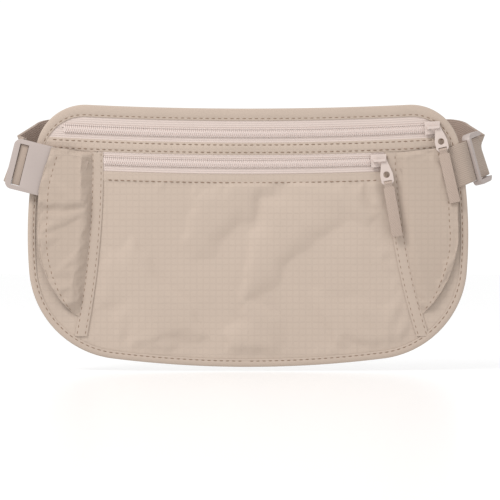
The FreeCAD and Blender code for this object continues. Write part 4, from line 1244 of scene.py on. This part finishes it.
lean = math.radians(BUCKLE_LEAN)
left_start = (-BUCKLE_SEAT[0] + LOOP_END * math.cos(lean), -2.1, BUCKLE_SEAT[2] + LOOP_END * math.sin(lean))
left_turn = walk(left_start, LOOP_START, [
    bend(5.0, LOOP_START, SIDEWAYS), (21.0, SIDEWAYS), bend(10.0, SIDEWAYS, SLANTING),
    (16.0, SLANTING), bend(14.0, SLANTING, BEHIND)])
drift = (back_right - left_turn[-1][0]) * (0, 1, 1)
left_path = [((place + drift * (i / (len(left_turn) - 1))) * (-1, 1, 1),
              tuple(axis * (-1, 1, 1) for axis in axes)) for i, (place, axes) in enumerate(left_turn)]
left_path.append((np.array([-SPLICE_HALF, back_right[1], back_right[2]]), left_path[-1][1]))
strap("left_belt_outer", "strap_left_outer", evened(left_path), 0.0, "buckle_half", WEBBING)
strap("left_belt_inner", "strap_left_inner", evened(left_path[3:]), -LAYER_PITCH, "buckle_half",
      WEBBING_INSIDE_AND_SHADE)
for node, body in (("buckle_anchor_tab", "pouch"), ("strap_socket_loop", "buckle_half")):
    rounded_copy(node, node + "_webbing", WEBBING, body, "webbing", 0.5)

# %% [markdown]
# ## Floor, light and camera
# The belt stands on a white table: a wide pale floor that meets a pale sky, a large soft light from
# above and to the left, a faint one from the right, and a long lens level with the belt.

# %% Floor, light and camera
FRAME_WIDTH, CAMERA_DISTANCE, SENSOR = 0.325, 1.5, 36.0
FLOOR_GAP = 2.6
CAMERA_X, CAMERA_Z = 1.3, 76.0
ROOM_SEEN, ROOM_LIGHT, TABLE_GLOW, TABLE_SHADE = 1.06, 0.80, 0.455, 0.42
WHITE = (1, 1, 1, 1)


def build_floor():
    size, height = 6.0, (LOWEST_Z - FLOOR_GAP) * MM
    mesh = bpy.data.meshes.new("floor")
    corners = [(x * size, y * size, height) for x, y in ((-1, -1), (1, -1), (1, 1), (-1, 1))]
    mesh.from_pydata(corners, [], [(0, 1, 2, 3)])
    made, _, shader = finish_base("white table", 0.28, 0.35)
    shader.inputs["Base Color"].default_value = shaded(WHITE, TABLE_SHADE)
    shader.inputs["Emission Color"].default_value = WHITE
    shader.inputs["Emission Strength"].default_value = TABLE_GLOW
    mesh.materials.append(made)
    add_object("floor", mesh)


def add_light(name, place, size, power):
    """A soft light that faces the belt."""
    data = bpy.data.lights.new(name, "AREA")
    data.shape, data.size, data.size_y, data.energy = "RECTANGLE", size, size * 0.7, power
    light = add_object(name, data)
    light.location = place
    light.rotation_euler = (-Vector(place)).to_track_quat("-Z", "Y").to_euler()


build_floor()
add_light("key light", (-0.75, -0.8, 1.1), 0.6, 13.5)
add_light("fill light", (0.9, -1.2, 0.35), 1.0, 2)
world = bpy.data.worlds.new("white room")
world.use_nodes = True
room = world.node_tree
room.nodes["Background"].inputs["Color"].default_value = WHITE
seen = room.nodes.new("ShaderNodeLightPath").outputs["Is Camera Ray"]
strength = math_node(room, "MULTIPLY_ADD", seen, ROOM_SEEN - ROOM_LIGHT, ROOM_LIGHT)
room.links.new(strength, room.nodes["Background"].inputs["Strength"])
bpy.context.scene.world = world
bpy.context.scene.view_settings.view_transform = "Standard"

camera_data = bpy.data.cameras.new("camera")
camera_data.sensor_width = SENSOR
camera_data.lens = SENSOR * CAMERA_DISTANCE / FRAME_WIDTH
camera = add_object("camera", camera_data)
camera.location = (CAMERA_X * MM, -CAMERA_DISTANCE + FRONT_CLOTH_Y * MM, (CAMERA_Z + LOWEST_Z) * MM)
camera.rotation_euler = (math.pi / 2, 0, 0)
bpy.context.scene.camera = camera
